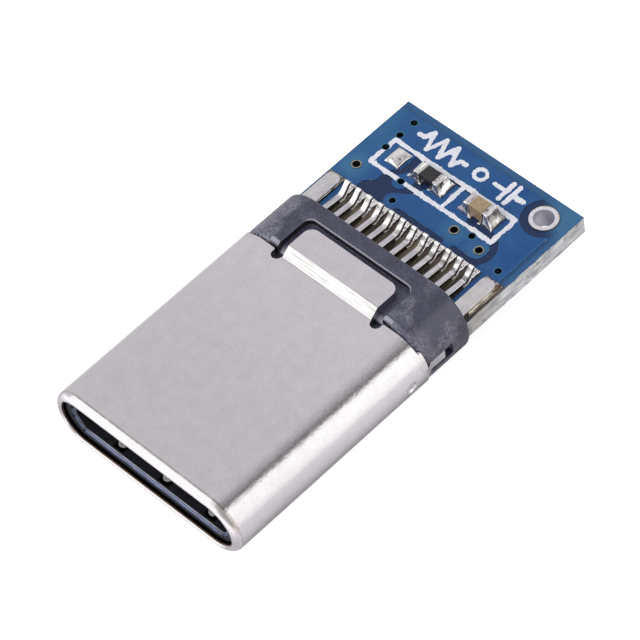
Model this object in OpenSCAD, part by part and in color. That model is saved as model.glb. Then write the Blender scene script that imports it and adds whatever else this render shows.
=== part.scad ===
// Reversible 24-contact plug on a small circuit board, open and without an overmould.
// Y = 0 is the front face of the plug, +Y runs back to the board, +Z is up.
// Z = 0 is the middle plane of the shell.

/* [Shell] */
// Outside width of the drawn shell
shell_w = 8.25; // [8.15:0.01:8.35]
// Outside height of the drawn shell
shell_h = 2.4; // [2.34:0.01:2.46]
// Wall of the drawn shell
shell_wall = 0.3; // [0.25:0.01:0.33]
// Length of the shell from its front face to its rear edge
shell_l = 8.5; // [8.3:0.05:8.8]
// Outer rounding of the front lip
lip_r = 0.25; // [0.12:0.01:0.27]
// Inner chamfer of the front lip
lip_chamfer = 0.05; // [0.02:0.01:0.08]
// Extra length of the rear edge on the round sides
side_step_l = 0.12; // [0.05:0.01:0.2]
// Half height of the longer part of the round sides
side_step_z = 0.78; // [0.5:0.01:0.9]

/* [Shell tabs] */
// Distance from the shell's side to a tab
tab_inset = 2.155; // [2:0.005:2.6]
// Length of a tab behind the rear edge
tab_reach = 1.22; // [0.9:0.02:1.3]
// How far a tab steps outwards
tab_rise = 0.28; // [0.2:0.01:0.3]
// Length of the step
tab_step_l = 0.37; // [0.3:0.01:0.45]
// Rounding of the rear corners of a tab
tab_corner_r = 0.35; // [0.1:0.01:0.5]
// Radius of the relief notch beside a tab
relief_r = 0.2; // [0.15:0.01:0.25]
// Distance of the notch centres in front of the rear edge
relief_back = 0.16; // [0.12:0.01:0.2]
// Width of the gap between a tab and the shell's corner
relief_gap = 0.42; // [0.35:0.01:0.5]
// Height of the side tongues
tongue_h = 0.38; // [0.3:0.01:0.5]
// Length of the side tongues behind the rear edge
tongue_reach = 1.05; // [0.8:0.01:1.2]
// How far a side tongue steps inwards
tongue_set = 0.13; // [0.1:0.01:0.16]
// Radius of the staking dimple on each side
dimple_r = 0.22; // [0.15:0.01:0.3]
// Depth of the staking dimple
dimple_d = 0.07; // [0.03:0.01:0.1]
// Distance of the dimple in front of the rear edge
dimple_back = 0.67; // [0.5:0.01:1]

/* [Front housing] */
// Front face of the housing behind the shell's front face
housing_set = 0.2; // [0.1:0.01:0.3]
// Rear face of the housing in front of the shell's rear edge
housing_back = 2.1; // [1.8:0.05:2.4]
// Clearance between the housing and the shell
fit_gap = 0.02; // [0.01:0.005:0.03]
// Wall of the housing at each end of the mouth
mouth_end_wall = 0.355; // [0.3:0.005:0.4]
// Wall of the housing above and below the mouth
mouth_wall = 0.24; // [0.22:0.01:0.28]
// Chamfer of the mouth
mouth_chamfer = 0.12; // [0.05:0.01:0.15]
// Sloped corner at each end of the mouth
mouth_corner = 0.42; // [0.3:0.01:0.5]
// Width of a contact slot
slot_w = 0.31; // [0.28:0.01:0.34]
// Front end of the contact slots
slot_start = 1.35; // [1.2:0.01:1.45]
// Housing wall over a contact slot
slot_wall = 0.08; // [0.06:0.01:0.1]

/* [Contacts] */
// Contacts in each row
contacts = 12; // [4:2:12]
// Distance from the mouth's end to the outermost contact
contact_margin = 0.7; // [0.6:0.01:0.8]
// Width of a contact
contact_w = 0.21; // [0.18:0.01:0.25]
// Thickness of a contact
contact_t = 0.13; // [0.1:0.01:0.14]
// Middle of a contact where its carrier holds it
contact_z = 0.6; // [0.56:0.01:0.62]
// Middle of a contact at its touching point
touch_z = 0.41; // [0.38:0.01:0.45]
// Touching point behind the front face
touch_y = 2.25; // [2.1:0.05:2.6]
// Front tip of a contact
tip_y = 1.55; // [1.5:0.01:1.6]
// Lift of a tail's free end above its pad
tail_lift = 0.34; // [0.2:0.01:0.38]

/* [Carriers and middle plate] */
// Distance from the mouth's end to a carrier's end
carrier_inset = 0.4; // [0.36:0.01:0.45]
// Outer face of a carrier above the middle plane
carrier_top = 0.76; // [0.74:0.01:0.77]
// Thickness of the middle plate
plate_t = 0.15; // [0.1:0.01:0.16]
// Width of a latch arm
latch_w = 0.22; // [0.18:0.01:0.24]
// Outer face of a latch arm beyond the mouth's end
latch_out = 0.21; // [0.15:0.01:0.25]
// How far a latch hook reaches inwards
latch_hook = 0.27; // [0.2:0.01:0.3]
// Front end of the latch arms
latch_tip_y = 1.5; // [1.4:0.05:1.8]
// Width of a board leg
leg_w = 0.56; // [0.5:0.01:0.6]
// Length of the board legs behind the contact tails
leg_over = 0.11; // [0:0.01:0.2]

/* [Shielding springs] */
// Fingers on each spring
fingers = 3; // [1:1:3]
// Distance from the spring's end to the outermost finger
finger_margin = 0.92; // [0.8:0.01:1.2]
// Sideways shift of the fingers
finger_shift = 0.3; // [0:0.01:0.4]
// Width of a finger
finger_w = 0.38; // [0.3:0.01:0.5]
// Thickness of the spring strip
strip_t = 0.07; // [0.05:0.01:0.08]

/* [Collar] */
// How far the collar's side lies inside the shell's side
collar_inset = 0.085; // [0.04:0.005:0.12]
// How far the collar's top lies above the shell's top
collar_rise = 0.23; // [0.2:0.01:0.26]
// Length of the collar behind the shell
collar_l = 2.1; // [2:0.01:2.3]
// Front rounding of the collar
collar_front_r = 0.22; // [0.1:0.01:0.22]
// Rear rounding of the collar
collar_rear_r = 0.1; // [0.05:0.01:0.15]
// Gap between the shell's rear edge and the collar
collar_gap = 0.02; // [0.01:0.005:0.04]
// Length of the spigot inside the shell
spigot_l = 0.6; // [0.4:0.01:0.7]
// Gap round the sides of a tab in its recess
recess_gap = 0.35; // [0.25:0.01:0.4]
// Gap behind a tab in its recess
recess_rear_gap = 0.27; // [0.2:0.01:0.35]
// Bevel round the recess
recess_bevel_w = 0.04; // [0.02:0.01:0.06]
// Clearance round the side tongues
tongue_gap = 0.03; // [0.02:0.01:0.05]

/* [Circuit board] */
// How far the board's edge lies inside the shell's side
board_inset = 0.225; // [0.1:0.005:0.3]
// Length of the board behind the collar
board_l = 5.58; // [5.3:0.02:6.4]
// Thickness of the board
board_t = 0.78; // [0.74:0.01:0.8]
// Depth of the gaps between the copper fields
coat_t = 0.02; // [0.01:0.005:0.03]
// Gap between the copper fields and the board's rear and right edges
edge_gap = 0.3; // [0.2:0.01:0.4]
// Height of a tinned land above the laminate
land_t = 0.05; // [0.04:0.005:0.06]
// Length of the contact lands behind the tails
land_over = 0.21; // [0.15:0.01:0.4]
// Width of a contact land
land_w = 0.3; // [0.28:0.01:0.34]
// Radius of the wire hole
hole_r = 0.36; // [0.3:0.01:0.4]
// Width of the ring round the wire hole
hole_ring = 0.16; // [0.1:0.01:0.2]
// Wire hole from the board's side
hole_side = 0.95; // [0.9:0.01:1.1]
// Wire hole in front of the rear edge
hole_back = 0.88; // [0.8:0.01:1]
// Radius of the clearance round the wire hole
hole_clear_r = 0.79; // [0.7:0.01:0.85]
// Radius of a via hole
via_r = 0.12; // [0.08:0.01:0.13]
// Width of the ring round an uncoated via
via_ring = 0.06; // [0.04:0.01:0.1]
// Wall of the plating
plating_t = 0.03; // [0.02:0.005:0.04]

/* [Parts on the board] */
// Length of a chip part
chip_l = 1; // [0.9:0.01:1.1]
// Width of a chip part
chip_w = 0.5; // [0.45:0.01:0.6]
// Height of the resistor
resistor_h = 0.35; // [0.3:0.01:0.4]
// Height of the capacitor
capacitor_h = 0.5; // [0.4:0.01:0.55]
// Length of each metal end
chip_end = 0.22; // [0.15:0.01:0.3]
// Width of a chip land
chip_land_l = 0.62; // [0.5:0.01:0.65]
// Depth of a chip land
chip_land_w = 0.74; // [0.6:0.01:0.8]
// Width of a printed line
print_w = 0.16; // [0.1:0.01:0.2]

/* [Hidden] */
$fn = 48;
far = 30;
shell_r = shell_h / 2;
bore_r = shell_r - shell_wall;
bore_half_w = shell_w / 2 - shell_wall;
plug_r = bore_r - fit_gap;
plug_half_w = bore_half_w - fit_gap;
tab_w = shell_w - 2 * tab_inset;
tab_cut_y = shell_l - 0.1;
tab_end = shell_l + tab_reach;
tab_under = bore_r + tab_rise;
collar_y = shell_l + collar_gap;
collar_end = collar_y + collar_l;
collar_half_w = shell_w / 2 - collar_inset;
collar_half_h = shell_r + collar_rise;
window_gap = 0.02;
plate_gap = 0.005;
recess_r = 0.3;
housing_end = shell_l - housing_back;
mouth_half_w = plug_half_w - mouth_end_wall;
mouth_half_h = plug_r - mouth_wall;
slot_roof = plug_r - slot_wall;
pitch = 2 * (mouth_half_w - contact_margin) / (contacts - 1);
carrier_half_w = mouth_half_w - carrier_inset;
carrier_y = housing_end + fit_gap;
latch_half_w = mouth_half_w + latch_out;
plate_y = carrier_y + 0.48;
plate_end = collar_end - 0.52;
board_w = shell_w - 2 * board_inset;
board_y = collar_end;
board_end = board_y + board_l;
board_top = board_t / 2;
laminate_top = board_top - coat_t;
land_top = laminate_top + land_t;
tail_foot_z = land_top + contact_t / 2;
tail_foot_y = board_y + 1.17;
tail_run = 0.4;
tail_flare = 1.3;
tail_end = tail_foot_y + tail_run;
land_end = tail_end + land_over;
leg_end = tail_end + leg_over;
beam_y = 4.2;
beam_bow = 0.03;
leg_z = land_top + plate_t / 2;
leg_x = latch_half_w + 0.06 - leg_w;
hole_x = board_w / 2 - hole_side;
hole_y = board_end - hole_back;
drawn_w = 7.8;
drawn_l = 3.8;
resistor_x = at_x(-0.95);
capacitor_x = at_x(1.27);
spare_land_x = at_x(-2.43);
chip_y = at_y(-2.04);
bare_y = board_y + 0.25;
land_y = tail_foot_y - 0.2;
bare_half_w = (contacts - 1) * pitch / 2 + land_w / 2 + 0.02;
box_front = chip_y - 0.73;
box_rear = chip_y + 0.61;
box_left = at_x(-3.14);
box_right = at_x(2.37);
box_divide = at_x(0.07);
wire_land_w = 1.1;
wire_land_l = 1.9;
wire_land_end = board_end - 0.2;
wire_land_x = [for (x = [-1.55, 0, 1.55, 3.1]) at_x(x)];
spring_half_w = carrier_half_w - 0.1;
finger_pitch = 2 * (spring_half_w - finger_margin) / max(fingers - 1, 1);
spring_y = 1.3;
spring_l = 0.9;
finger_tip = 0.5;
finger_window = 0.05;
finger_nose = [0.7, 0.59];

// Places in the board's layout, drawn from its middle and its rear edge. The layout widens with
// the board, and reaches from the contact lands to the rear edge.
function at_x(x) = x * board_w / drawn_w;
function at_y(y) = board_end + y * (board_end - land_end) / drawn_l;
function at(points) = [for (p = points) [at_x(p[0]), at_y(p[1])]];

// Via centres in the layout
VIAS_COATED = [[-3.09, -0.59], [-3.09, -1.27], [-3.11, -1.94], [-1.7, -2.69], [-1.37, -3.45],
               [1.64, -2.89], [3.27, -3.41]];
VIAS_BARE = [[-3.33, -3.1], [1.04, -3.08], [2.23, -3.19]];

// Place of contact i across the plug
function contact_x(i) = (i - (contacts + 1) / 2) * pitch;

// Eased rise from one point to the next, level at both, in n steps
function ease(t) = t * t * (3 - 2 * t);
function eased(a, b, n) =
    [for (k = [1:n]) [a[0] + (b[0] - a[0]) * k / n, a[1] + (b[1] - a[1]) * ease(k / n)]];

// Outline of a strip of one thickness along a path
function along(p, i) = let (d = p[min(i + 1, len(p) - 1)] - p[max(i - 1, 0)]) d / norm(d);
function beside(p, i, t) = p[i] + t / 2 * [-along(p, i)[1], along(p, i)[0]];
function strip(p, t) = concat(
    [for (i = [0:len(p) - 1]) beside(p, i, t)],
    [for (i = [len(p) - 1:-1:0]) beside(p, i, -t)]
);

// Extrudes a side view, drawn as Y and Z, across the plug from x0 to x1
module across(x0, x1)
    translate([x0, 0, 0]) rotate([90, 0, 90]) linear_extrude(x1 - x0) children();

// Turns a half profile, drawn as radius and Y, into a body with flat faces and round sides
module round_sided(half_w, r) {
    for (s = [-1, 1])
        translate([s * (half_w - r), 0, 0]) rotate([-90, 0, 0]) rotate_extrude() children();
    across(-(half_w - r), half_w - r) {
        mirror([1, -1, 0]) children();
        mirror([0, 1, 0]) mirror([1, -1, 0]) children();
    }
}

// Half profile with a rounded front and a rounded rear corner
module rounded_half(r, y0, y1, front, rear) {
    translate([0, y0]) square([r - max(front, rear), y1 - y0]);
    translate([0, y0 + front]) square([r, y1 - y0 - front - rear]);
    translate([0, y0]) square([r - front, front]);
    translate([0, y1 - rear]) square([r - rear, rear]);
    translate([r - front, y0 + front]) circle(front);
    translate([r - rear, y1 - rear]) circle(rear);
}

module plain_half(r, y0, y1)
    translate([0, y0]) square([r, y1 - y0]);

// Copies its children to the upper and lower side of the plug, turned over
module both_faces() {
    children();
    rotate([0, 180, 0]) children();
}

module both_sides() {
    children();
    mirror([1, 0, 0]) children();
}

module box(x0, x1, y0, y1, z0, z1)
    translate([x0, y0, z0]) cube([x1 - x0, y1 - y0, z1 - z0]);

// Opening between a tab and the shell, seen from above
module relief_plan() {
    notch_x = tab_w / 2 + relief_r + 0.03;
    notch_y = shell_l - relief_back;
    translate([notch_x, notch_y]) circle(relief_r);
    translate([tab_w / 2, notch_y]) square([relief_gap, shell_l]);
    translate([tab_w / 2 - 0.03, tab_cut_y]) square([0.1, shell_l]);
    // Rounded corner of the shell beside the gap
    difference() {
        translate([tab_w / 2 + relief_gap, shell_l - 0.12]) square([0.12, far]);
        translate([tab_w / 2 + relief_gap + 0.12, shell_l - 0.12]) circle(0.12);
    }
}

module tab() {
    step_y = tab_cut_y;
    intersection() {
        across(-tab_w / 2, tab_w / 2) polygon([
            [step_y - 0.15, bore_r],
            [step_y, bore_r],
            [step_y + tab_step_l, tab_under],
            [tab_end, tab_under],
            [tab_end, tab_under + shell_wall],
            [step_y + tab_step_l - 0.08, tab_under + shell_wall],
            [step_y - 0.04, shell_r],
            [step_y - 0.15, shell_r]
        ]);
        linear_extrude(far) {
            translate([-tab_w / 2, 0]) square([tab_w, tab_end - tab_corner_r]);
            translate([tab_corner_r - tab_w / 2, 0]) square([tab_w - 2 * tab_corner_r, tab_end]);
            for (s = [-1, 1])
                translate([s * (tab_w / 2 - tab_corner_r), tab_end - tab_corner_r])
                    circle(tab_corner_r);
        }
    }
}

module side_tongue() {
    x = shell_w / 2;
    y = shell_l + side_step_l;
    translate([0, 0, -tongue_h / 2]) linear_extrude(tongue_h) polygon([
        [x - shell_wall, y - 0.1],
        [x, y - 0.1],
        [x, y],
        [x - tongue_set, y + 0.22],
        [x - tongue_set, shell_l + tongue_reach - 0.06],
        [x - tongue_set - 0.06, shell_l + tongue_reach],
        [x - 0.22 - tongue_set, shell_l + tongue_reach],
        [x - 0.22 - tongue_set, y + 0.22],
        [x - shell_wall, y]
    ]);
}

module outer_shell() color([0.76, 0.74, 0.74]) {
    difference() {
        union() {
            round_sided(shell_w / 2, shell_r) rounded_half(shell_r, 0, shell_l, lip_r, 0.03);
            intersection() {
                round_sided(shell_w / 2, shell_r)
                    plain_half(shell_r, shell_l - 1, shell_l + side_step_l);
                box(-far, far, 0, far, -side_step_z, side_step_z);
            }
        }
        round_sided(bore_half_w, bore_r) plain_half(bore_r, -1, far);
        round_sided(bore_half_w + lip_chamfer, bore_r + lip_chamfer) polygon([
            [0, -1], [bore_r + lip_chamfer + 0.2, -0.2], [bore_r, lip_chamfer], [0, lip_chamfer]
        ]);
        both_faces() translate([0, 0, bore_r - 0.1]) linear_extrude(1) {
            both_sides() relief_plan();
            translate([-tab_w / 2, tab_cut_y]) square([tab_w, 1]);
        }
        both_sides() translate([shell_w / 2 - dimple_d, shell_l - dimple_back, 0])
            rotate([0, 90, 0]) cylinder(h = 1, r1 = dimple_r * 0.7, r2 = dimple_r * 0.7 + 1);
    }
    both_faces() tab();
    both_sides() side_tongue();
}

// Mouth seen from the front, with sloped corners
module mouth_plan(grow) {
    w = mouth_half_w + grow;
    h = mouth_half_h + grow;
    polygon([
        [-w, -h + mouth_corner], [-w + mouth_corner * 0.8, -h],
        [w - mouth_corner * 0.8, -h], [w, -h + mouth_corner],
        [w, h - mouth_corner], [w - mouth_corner * 0.8, h],
        [-w + mouth_corner * 0.8, h], [-w, h - mouth_corner]
    ]);
}

// Sloped faces round the mouth: a wedge above, below and at each end
module mouth_bevel() {
    c = mouth_chamfer;
    w = mouth_half_w;
    h = mouth_half_h;
    for (s = [0, 1]) mirror([0, 0, s])
        across(-w + mouth_corner * 0.8, w - mouth_corner * 0.8) polygon([
            [housing_set - 0.1, 0], [housing_set - 0.1, h + c + 0.1],
            [housing_set + c, h], [housing_set + c, 0]
        ]);
    for (s = [0, 1]) mirror([s, 0, 0])
        translate([0, 0, mouth_corner - h]) linear_extrude(2 * (h - mouth_corner)) polygon([
            [0, housing_set - 0.1], [w + c + 0.1, housing_set - 0.1],
            [w, housing_set + c], [0, housing_set + c]
        ]);
    // The corner slopes follow the line between the flat edges
    slope = atan2(mouth_corner, mouth_corner * 0.8);
    run = norm([mouth_corner, mouth_corner * 0.8]);
    for (s = [0, 1], t = [0, 1]) mirror([s, 0, 0]) mirror([0, 0, t])
        translate([w - mouth_corner * 0.8, 0, h]) rotate([0, slope, 0])
            across(0, run) polygon([
                [housing_set - 0.1, -0.2], [housing_set - 0.1, c + 0.1],
                [housing_set + c, 0], [housing_set + c, -0.2]
            ]);
}

module front_housing() color([0.12, 0.12, 0.14]) difference() {
    round_sided(plug_half_w, plug_r) rounded_half(plug_r, housing_set, housing_end, 0.04, 0.02);
    rotate([-90, 0, 0]) linear_extrude(far) mouth_plan(0);
    mouth_bevel();
    for (i = [1:contacts]) {
        x = contact_x(i);
        box(x - slot_w / 2, x + slot_w / 2, slot_start, far, -slot_roof, slot_roof);
    }
    // Side channels for the latch arms
    both_sides() box(mouth_half_w - 0.1, latch_half_w + 0.05, latch_tip_y - 0.15, far,
                     -plate_t / 2 - 0.06, plate_t / 2 + 0.06);
    // Seats of the shielding springs, with a window for each finger
    both_faces() {
        box(-spring_half_w - 0.05, spring_half_w + 0.05, finger_tip - 0.1,
            spring_y + spring_l + 0.05, plug_r - strip_t - 0.01, 1);
        for (k = [1:fingers]) {
            x = finger_x(k);
            box(x - finger_w / 2 - finger_window, x + finger_w / 2 + finger_window,
                finger_tip - 0.1, spring_y + 0.12, 0, 1);
        }
    }
}

function finger_x(k) = (k - (fingers + 1) / 2) * finger_pitch - finger_shift;

module shield_spring() {
    z = plug_r - strip_t / 2;
    root_y = spring_y + 0.1;
    r = finger_w / 2;
    box(-spring_half_w, spring_half_w, spring_y, spring_y + spring_l, plug_r - strip_t, plug_r);
    for (k = [1:fingers]) intersection() {
        across(finger_x(k) - r, finger_x(k) + r) polygon(strip(concat(
            [[root_y, z]],
            eased([root_y, z], finger_nose, 8),
            [[finger_tip, finger_nose[1] + 0.06]]
        ), strip_t));
        // Round end of the finger, seen from above
        linear_extrude(far) {
            translate([finger_x(k), finger_tip + r]) circle(r);
            translate([finger_x(k) - r, finger_tip + r]) square([finger_w, spring_l]);
        }
    }
}

module shield_spring_top() color([0.72, 0.7, 0.68]) shield_spring();
module shield_spring_bottom() color([0.72, 0.7, 0.68]) rotate([0, 180, 0]) shield_spring();

// Side view of one contact's middle line, from its tip to its soldered tail
function contact_path() = let (
    touch = [touch_y, touch_z],
    root = [carrier_y, contact_z],
    rear = [collar_end, contact_z],
    foot = [tail_foot_y, tail_foot_z]
) concat(
    [[tip_y, touch_z + 0.2]],
    eased([tip_y, touch_z + 0.2], touch, 6),
    eased(touch, [beam_y, contact_z + beam_bow], 10),
    eased([beam_y, contact_z + beam_bow], root, 4),
    [rear, foot],
    [for (k = [1:5]) foot + [tail_run * k / 5, tail_lift * pow(k / 5, tail_flare)]]
);

module contact(x)
    across(x - contact_w / 2, x + contact_w / 2) polygon(strip(contact_path(), contact_t));

module contact_top(i) color([0.8, 0.78, 0.74]) contact(contact_x(i));
module contact_bottom(i) color([0.8, 0.78, 0.74]) rotate([0, 180, 0]) contact(contact_x(i));

// Moulded bar round one row of contacts
module carrier() {
    floor_z = plate_t / 2 + plate_gap;
    difference() {
        box(-carrier_half_w, carrier_half_w, carrier_y, collar_end, floor_z, carrier_top);
        for (i = [1:contacts]) {
            x = contact_x(i);
            box(x - contact_w / 2, x + contact_w / 2, 0, far,
                contact_z - contact_t / 2, contact_z + contact_t / 2);
        }
        // Steps that receive the mouth's end and the board
        box(-far, far, 0, carrier_y + 0.25, carrier_top - 0.06, far);
    }
}

module carrier_top_row() color([0.13, 0.13, 0.15]) carrier();
module carrier_bottom_row() color([0.13, 0.13, 0.15]) rotate([0, 180, 0]) carrier();

// Side view of a board leg: straight in the plug, up through the collar, then flat on its land
module leg_view(t)
    polygon(strip([
        [collar_y - spigot_l - 0.1, 0], [collar_y + 0.3, 0],
        [collar_y + 1.1, leg_z], [leg_end, leg_z]
    ], t));

module leg(t, gap)
    across(leg_x - gap, leg_x + leg_w + gap) leg_view(t + 2 * gap);

// Latch arm seen from above, with its hook turned into the mouth
module latch_plan() {
    x = latch_half_w;
    y = latch_tip_y;
    rear = plate_y + 0.4;
    polygon([
        [x - latch_w, rear], [x - latch_w, y + 0.95], [x - latch_w - latch_hook, y + 0.5],
        [x - latch_w - latch_hook, y + 0.25], [x - latch_w, y], [x - 0.06, y],
        [x, y + 0.1], [x, rear]
    ]);
}

module middle_plate() color([0.66, 0.66, 0.66]) {
    translate([0, 0, -plate_t / 2]) linear_extrude(plate_t) {
        translate([-carrier_half_w, plate_y]) square([2 * carrier_half_w, plate_end - plate_y]);
        both_sides() {
            latch_plan();
            translate([carrier_half_w - 0.1, plate_y + 0.1])
                square([leg_x + leg_w - carrier_half_w + 0.1, collar_y - spigot_l - plate_y - 0.17]);
        }
    }
    both_sides() difference() {
        leg(plate_t, 0);
        // Rounded outer corner of the leg's end
        translate([leg_x, leg_end - 0.2, 0]) difference() {
            translate([-0.1, 0, 0]) cube([0.3, 0.3, 1]);
            translate([0.2, 0, 0]) cylinder(h = 3, r = 0.2, center = true);
        }
        translate([leg_x + leg_w - 0.2, leg_end - 0.2, 0]) difference() {
            cube([0.3, 0.3, 1]);
            cylinder(h = 3, r = 0.2, center = true);
        }
    }
}

module tab_recess() {
    half = tab_w / 2 + recess_gap;
    floor_z = tab_under - 0.01;
    rear = tab_end + recess_rear_gap;
    r = recess_r;
    intersection() {
        across(-half, half) polygon([
            [collar_y - 1, bore_r], [tab_cut_y, bore_r - 0.01],
            [tab_cut_y + tab_step_l + 0.03, floor_z], [rear, floor_z],
            [rear, 3], [collar_y - 1, 3]
        ]);
        linear_extrude(far) {
            translate([-half, 0]) square([2 * half, rear - r]);
            translate([r - half, 0]) square([2 * (half - r), rear]);
            for (s = [-1, 1]) translate([s * (half - r), rear - r]) circle(r);
        }
    }
}

// Bevel where the recess breaks through the collar's flat top
module recess_bevel() {
    half = tab_w / 2 + recess_gap;
    rear = tab_end + recess_rear_gap;
    r = recess_r;
    c = recess_bevel_w;
    over = 0.02;
    low = collar_half_h - c;
    slope = [[-over, 0], [0, 0], [c + over, c + over], [-over, c + over]];
    across(r - half, half - r) translate([rear, low]) polygon(slope);
    for (s = [0, 1]) mirror([s, 0, 0]) {
        translate([half - r, rear - r, low]) cylinder(h = c + over, r1 = r, r2 = r + c + over);
        translate([half, rear - r, low]) rotate([90, 0, 0])
            linear_extrude(tab_reach + recess_rear_gap) polygon(slope);
    }
}

module rear_collar() color([0.26, 0.26, 0.31]) difference() {
    union() {
        round_sided(collar_half_w, collar_half_h)
            rounded_half(collar_half_h, collar_y, collar_end, collar_front_r, collar_rear_r);
        round_sided(plug_half_w, plug_r) plain_half(plug_r, collar_y - spigot_l, collar_y + 0.1);
    }
    // Window for the two carriers and the plate between them
    box(-carrier_half_w - window_gap, carrier_half_w + window_gap, 0, far,
        -carrier_top - window_gap, carrier_top + window_gap);
    both_faces() {
        tab_recess();
        recess_bevel();
    }
    // Side slots for the shell's tongues
    both_sides() {
        box(bore_half_w - 0.1, far, 0, shell_l + tongue_reach + 0.27,
            -tongue_h / 2 - tongue_gap, tongue_h / 2 + tongue_gap);
        leg(plate_t, 0.02);
    }
    // Room for the longer part of the shell's round sides
    difference() {
        box(-far, far, collar_y - 0.01, shell_l + side_step_l + collar_gap,
            -side_step_z - 0.02, side_step_z + 0.02);
        round_sided(plug_half_w, plug_r) plain_half(plug_r, 0, far);
    }
}

// Bare laminate round the tails, seen from above
module tail_clearing()
    translate([-bare_half_w, bare_y]) square([2 * bare_half_w, land_end - bare_y]);

module field_outline(left_gap) {
    edge = 0.02;
    x = board_w / 2;
    difference() {
        translate([left_gap - x, board_y])
            square([2 * x - left_gap - edge_gap, board_end - board_y - edge_gap]);
        tail_clearing();
        translate([hole_x, hole_y]) circle(hole_clear_r);
        translate([hole_x, hole_y]) square([board_w, board_l]);
    }
    // The front and left strips reach the board's edges
    translate([edge - x, board_y]) square([2 * x - 2 * edge, bare_y - board_y]);
}

// Gaps between the copper fields on top, seen from above
module top_gaps() {
    // Left of the chip parts, and between the resistor's lands
    difference() {
        polygon(at([
            [-2.71, -3.8], [-2.73, -3.62], [-2.69, -3.45], [-2.57, -3.3], [-2.4, -3.16],
            [-2.38, -2.6], [-2.05, -2.3], [-2.05, -1.57], [-1.77, -1.57], [-1.77, -2.6],
            [-1.32, -2.6], [-1.32, -1.57], [-0.84, -1.57], [-0.84, -2.4], [-0.9, -2.52],
            [-1.06, -2.85], [-1.24, -3], [-1.45, -3.1], [-1.5, -3.69], [-1.29, -3.74],
            [-1.2, -3.8]
        ]));
        for (v = [VIAS_COATED[3], VIAS_COATED[4]])
            translate([at_x(v[0]), at_y(v[1])]) circle(2.6 * via_r);
        polygon(at([[-2.05, -2.75], [-1.4, -2.75], [-1.33, -2.3], [-1.79, -2.25]]));
    }
    // In front of the middle field
    polygon(at([
        [-1.2, -3.8], [-1.15, -3.72], [-0.95, -3.55], [0.98, -3.56], [1.07, -3.6], [1.12, -3.8]
    ]));
    // Between the right fields, and between the capacitor's lands
    polygon(at([
        [1.4, -3.8], [1.43, -3.6], [1.52, -3.53], [2.2, -3.56], [2.36, -3.51], [2.48, -3.35],
        [2.5, -3.12], [2.43, -2.9], [2.26, -2.72], [2.1, -2.62], [1.12, -2.6], [1.02, -2.4],
        [1.02, -1.57], [1.5, -1.57], [1.5, -2.36], [2.2, -2.36], [2.45, -2.5], [2.69, -2.79],
        [2.77, -3.03], [2.78, -3.27], [2.73, -3.44], [2.63, -3.6], [2.6, -3.8]
    ]));
    // Behind the chip lands
    polygon(at([[-1.3, -1.66], [0.45, -1.66], [0.45, -1.58], [-1.3, -1.58]]));
}

// Clearance round the lands for wires, seen from above before the board is turned over
module bottom_gaps()
    for (x = wire_land_x)
        translate([x - wire_land_w / 2 - 0.12, wire_land_end - wire_land_l - 0.12])
            square([wire_land_w + 0.24, wire_land_l + 0.24]);

module via_places(list)
    for (v = list) translate([at_x(v[0]), at_y(v[1]), 0]) children();

module board_holes(extra) {
    via_places(concat(VIAS_COATED, VIAS_BARE))
        cylinder(h = 2, r = via_r + extra, center = true);
    translate([hole_x, hole_y, 0]) cylinder(h = 2, r = hole_r + extra, center = true);
}

module circuit_board() color([0.16, 0.36, 0.6]) difference() {
    union() {
        box(-board_w / 2, board_w / 2, board_y, board_end, -laminate_top, laminate_top);
        linear_extrude(board_top) difference() {
            field_outline(0.03);
            top_gaps();
        }
        translate([0, 0, -board_top]) linear_extrude(board_top) difference() {
            field_outline(edge_gap);
            mirror([1, 0, 0]) bottom_gaps();
        }
    }
    board_holes(plating_t);
}

module contact_lands()
    for (i = [1:contacts])
        box(contact_x(i) - land_w / 2, contact_x(i) + land_w / 2, land_y, land_end,
            laminate_top, land_top);

module chip_land(x)
    box(x - chip_land_l / 2, x + chip_land_l / 2, chip_y - chip_land_w / 2,
        chip_y + chip_land_w / 2, board_top, land_top);

module chip_lands(x)
    for (s = [-1, 1]) chip_land(x + s * (chip_l - 0.08) / 2);

module leg_lands()
    both_sides() box(leg_x - 0.04, leg_x + leg_w + 0.1, bare_y, leg_end + 0.12, board_top, land_top);

module lands_top() color([0.78, 0.77, 0.74]) {
    contact_lands();
    leg_lands();
    chip_land(spare_land_x);
    chip_lands(resistor_x);
    chip_lands(capacitor_x);
}

module lands_bottom() color([0.78, 0.77, 0.74]) difference() {
    rotate([0, 180, 0]) {
        contact_lands();
        for (x = wire_land_x)
            box(x - wire_land_w / 2, x + wire_land_w / 2, wire_land_end - wire_land_l,
                wire_land_end, laminate_top, land_top);
    }
    board_holes(plating_t);
}

// Plated barrel with a flat ring on both faces
module barrel(r, ring) {
    difference() {
        union() {
            cylinder(h = 2 * board_top, r = r + plating_t, center = true);
            if (ring > 0)
                for (s = [0, 1]) mirror([0, 0, s])
                    translate([0, 0, board_top]) cylinder(h = land_top - board_top, r = r + ring);
        }
        cylinder(h = 2, r = r, center = true);
    }
}

module bore_plating() color([0.8, 0.79, 0.76])
    translate([hole_x, hole_y, 0]) barrel(hole_r, hole_ring);

module via_plating() color([0.72, 0.6, 0.36]) {
    via_places(VIAS_BARE) barrel(via_r, via_ring);
    via_places(VIAS_COATED) barrel(via_r, 0);
}

// Printed frame round the chip parts, with a dividing line
module printed_boxes() color([0.93, 0.94, 0.95])
    translate([0, 0, board_top]) linear_extrude(coat_t) difference() {
        translate([box_left, box_front]) square([box_right - box_left, box_rear - box_front]);
        translate([box_left + print_w, box_front + print_w])
            square([box_divide - box_left - 1.5 * print_w, box_rear - box_front - 2 * print_w]);
        translate([box_divide + print_w / 2, box_front + print_w])
            square([box_right - box_divide - 1.5 * print_w, box_rear - box_front - 2 * print_w]);
        via_places(VIAS_COATED) circle(via_r + plating_t);
    }

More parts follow.
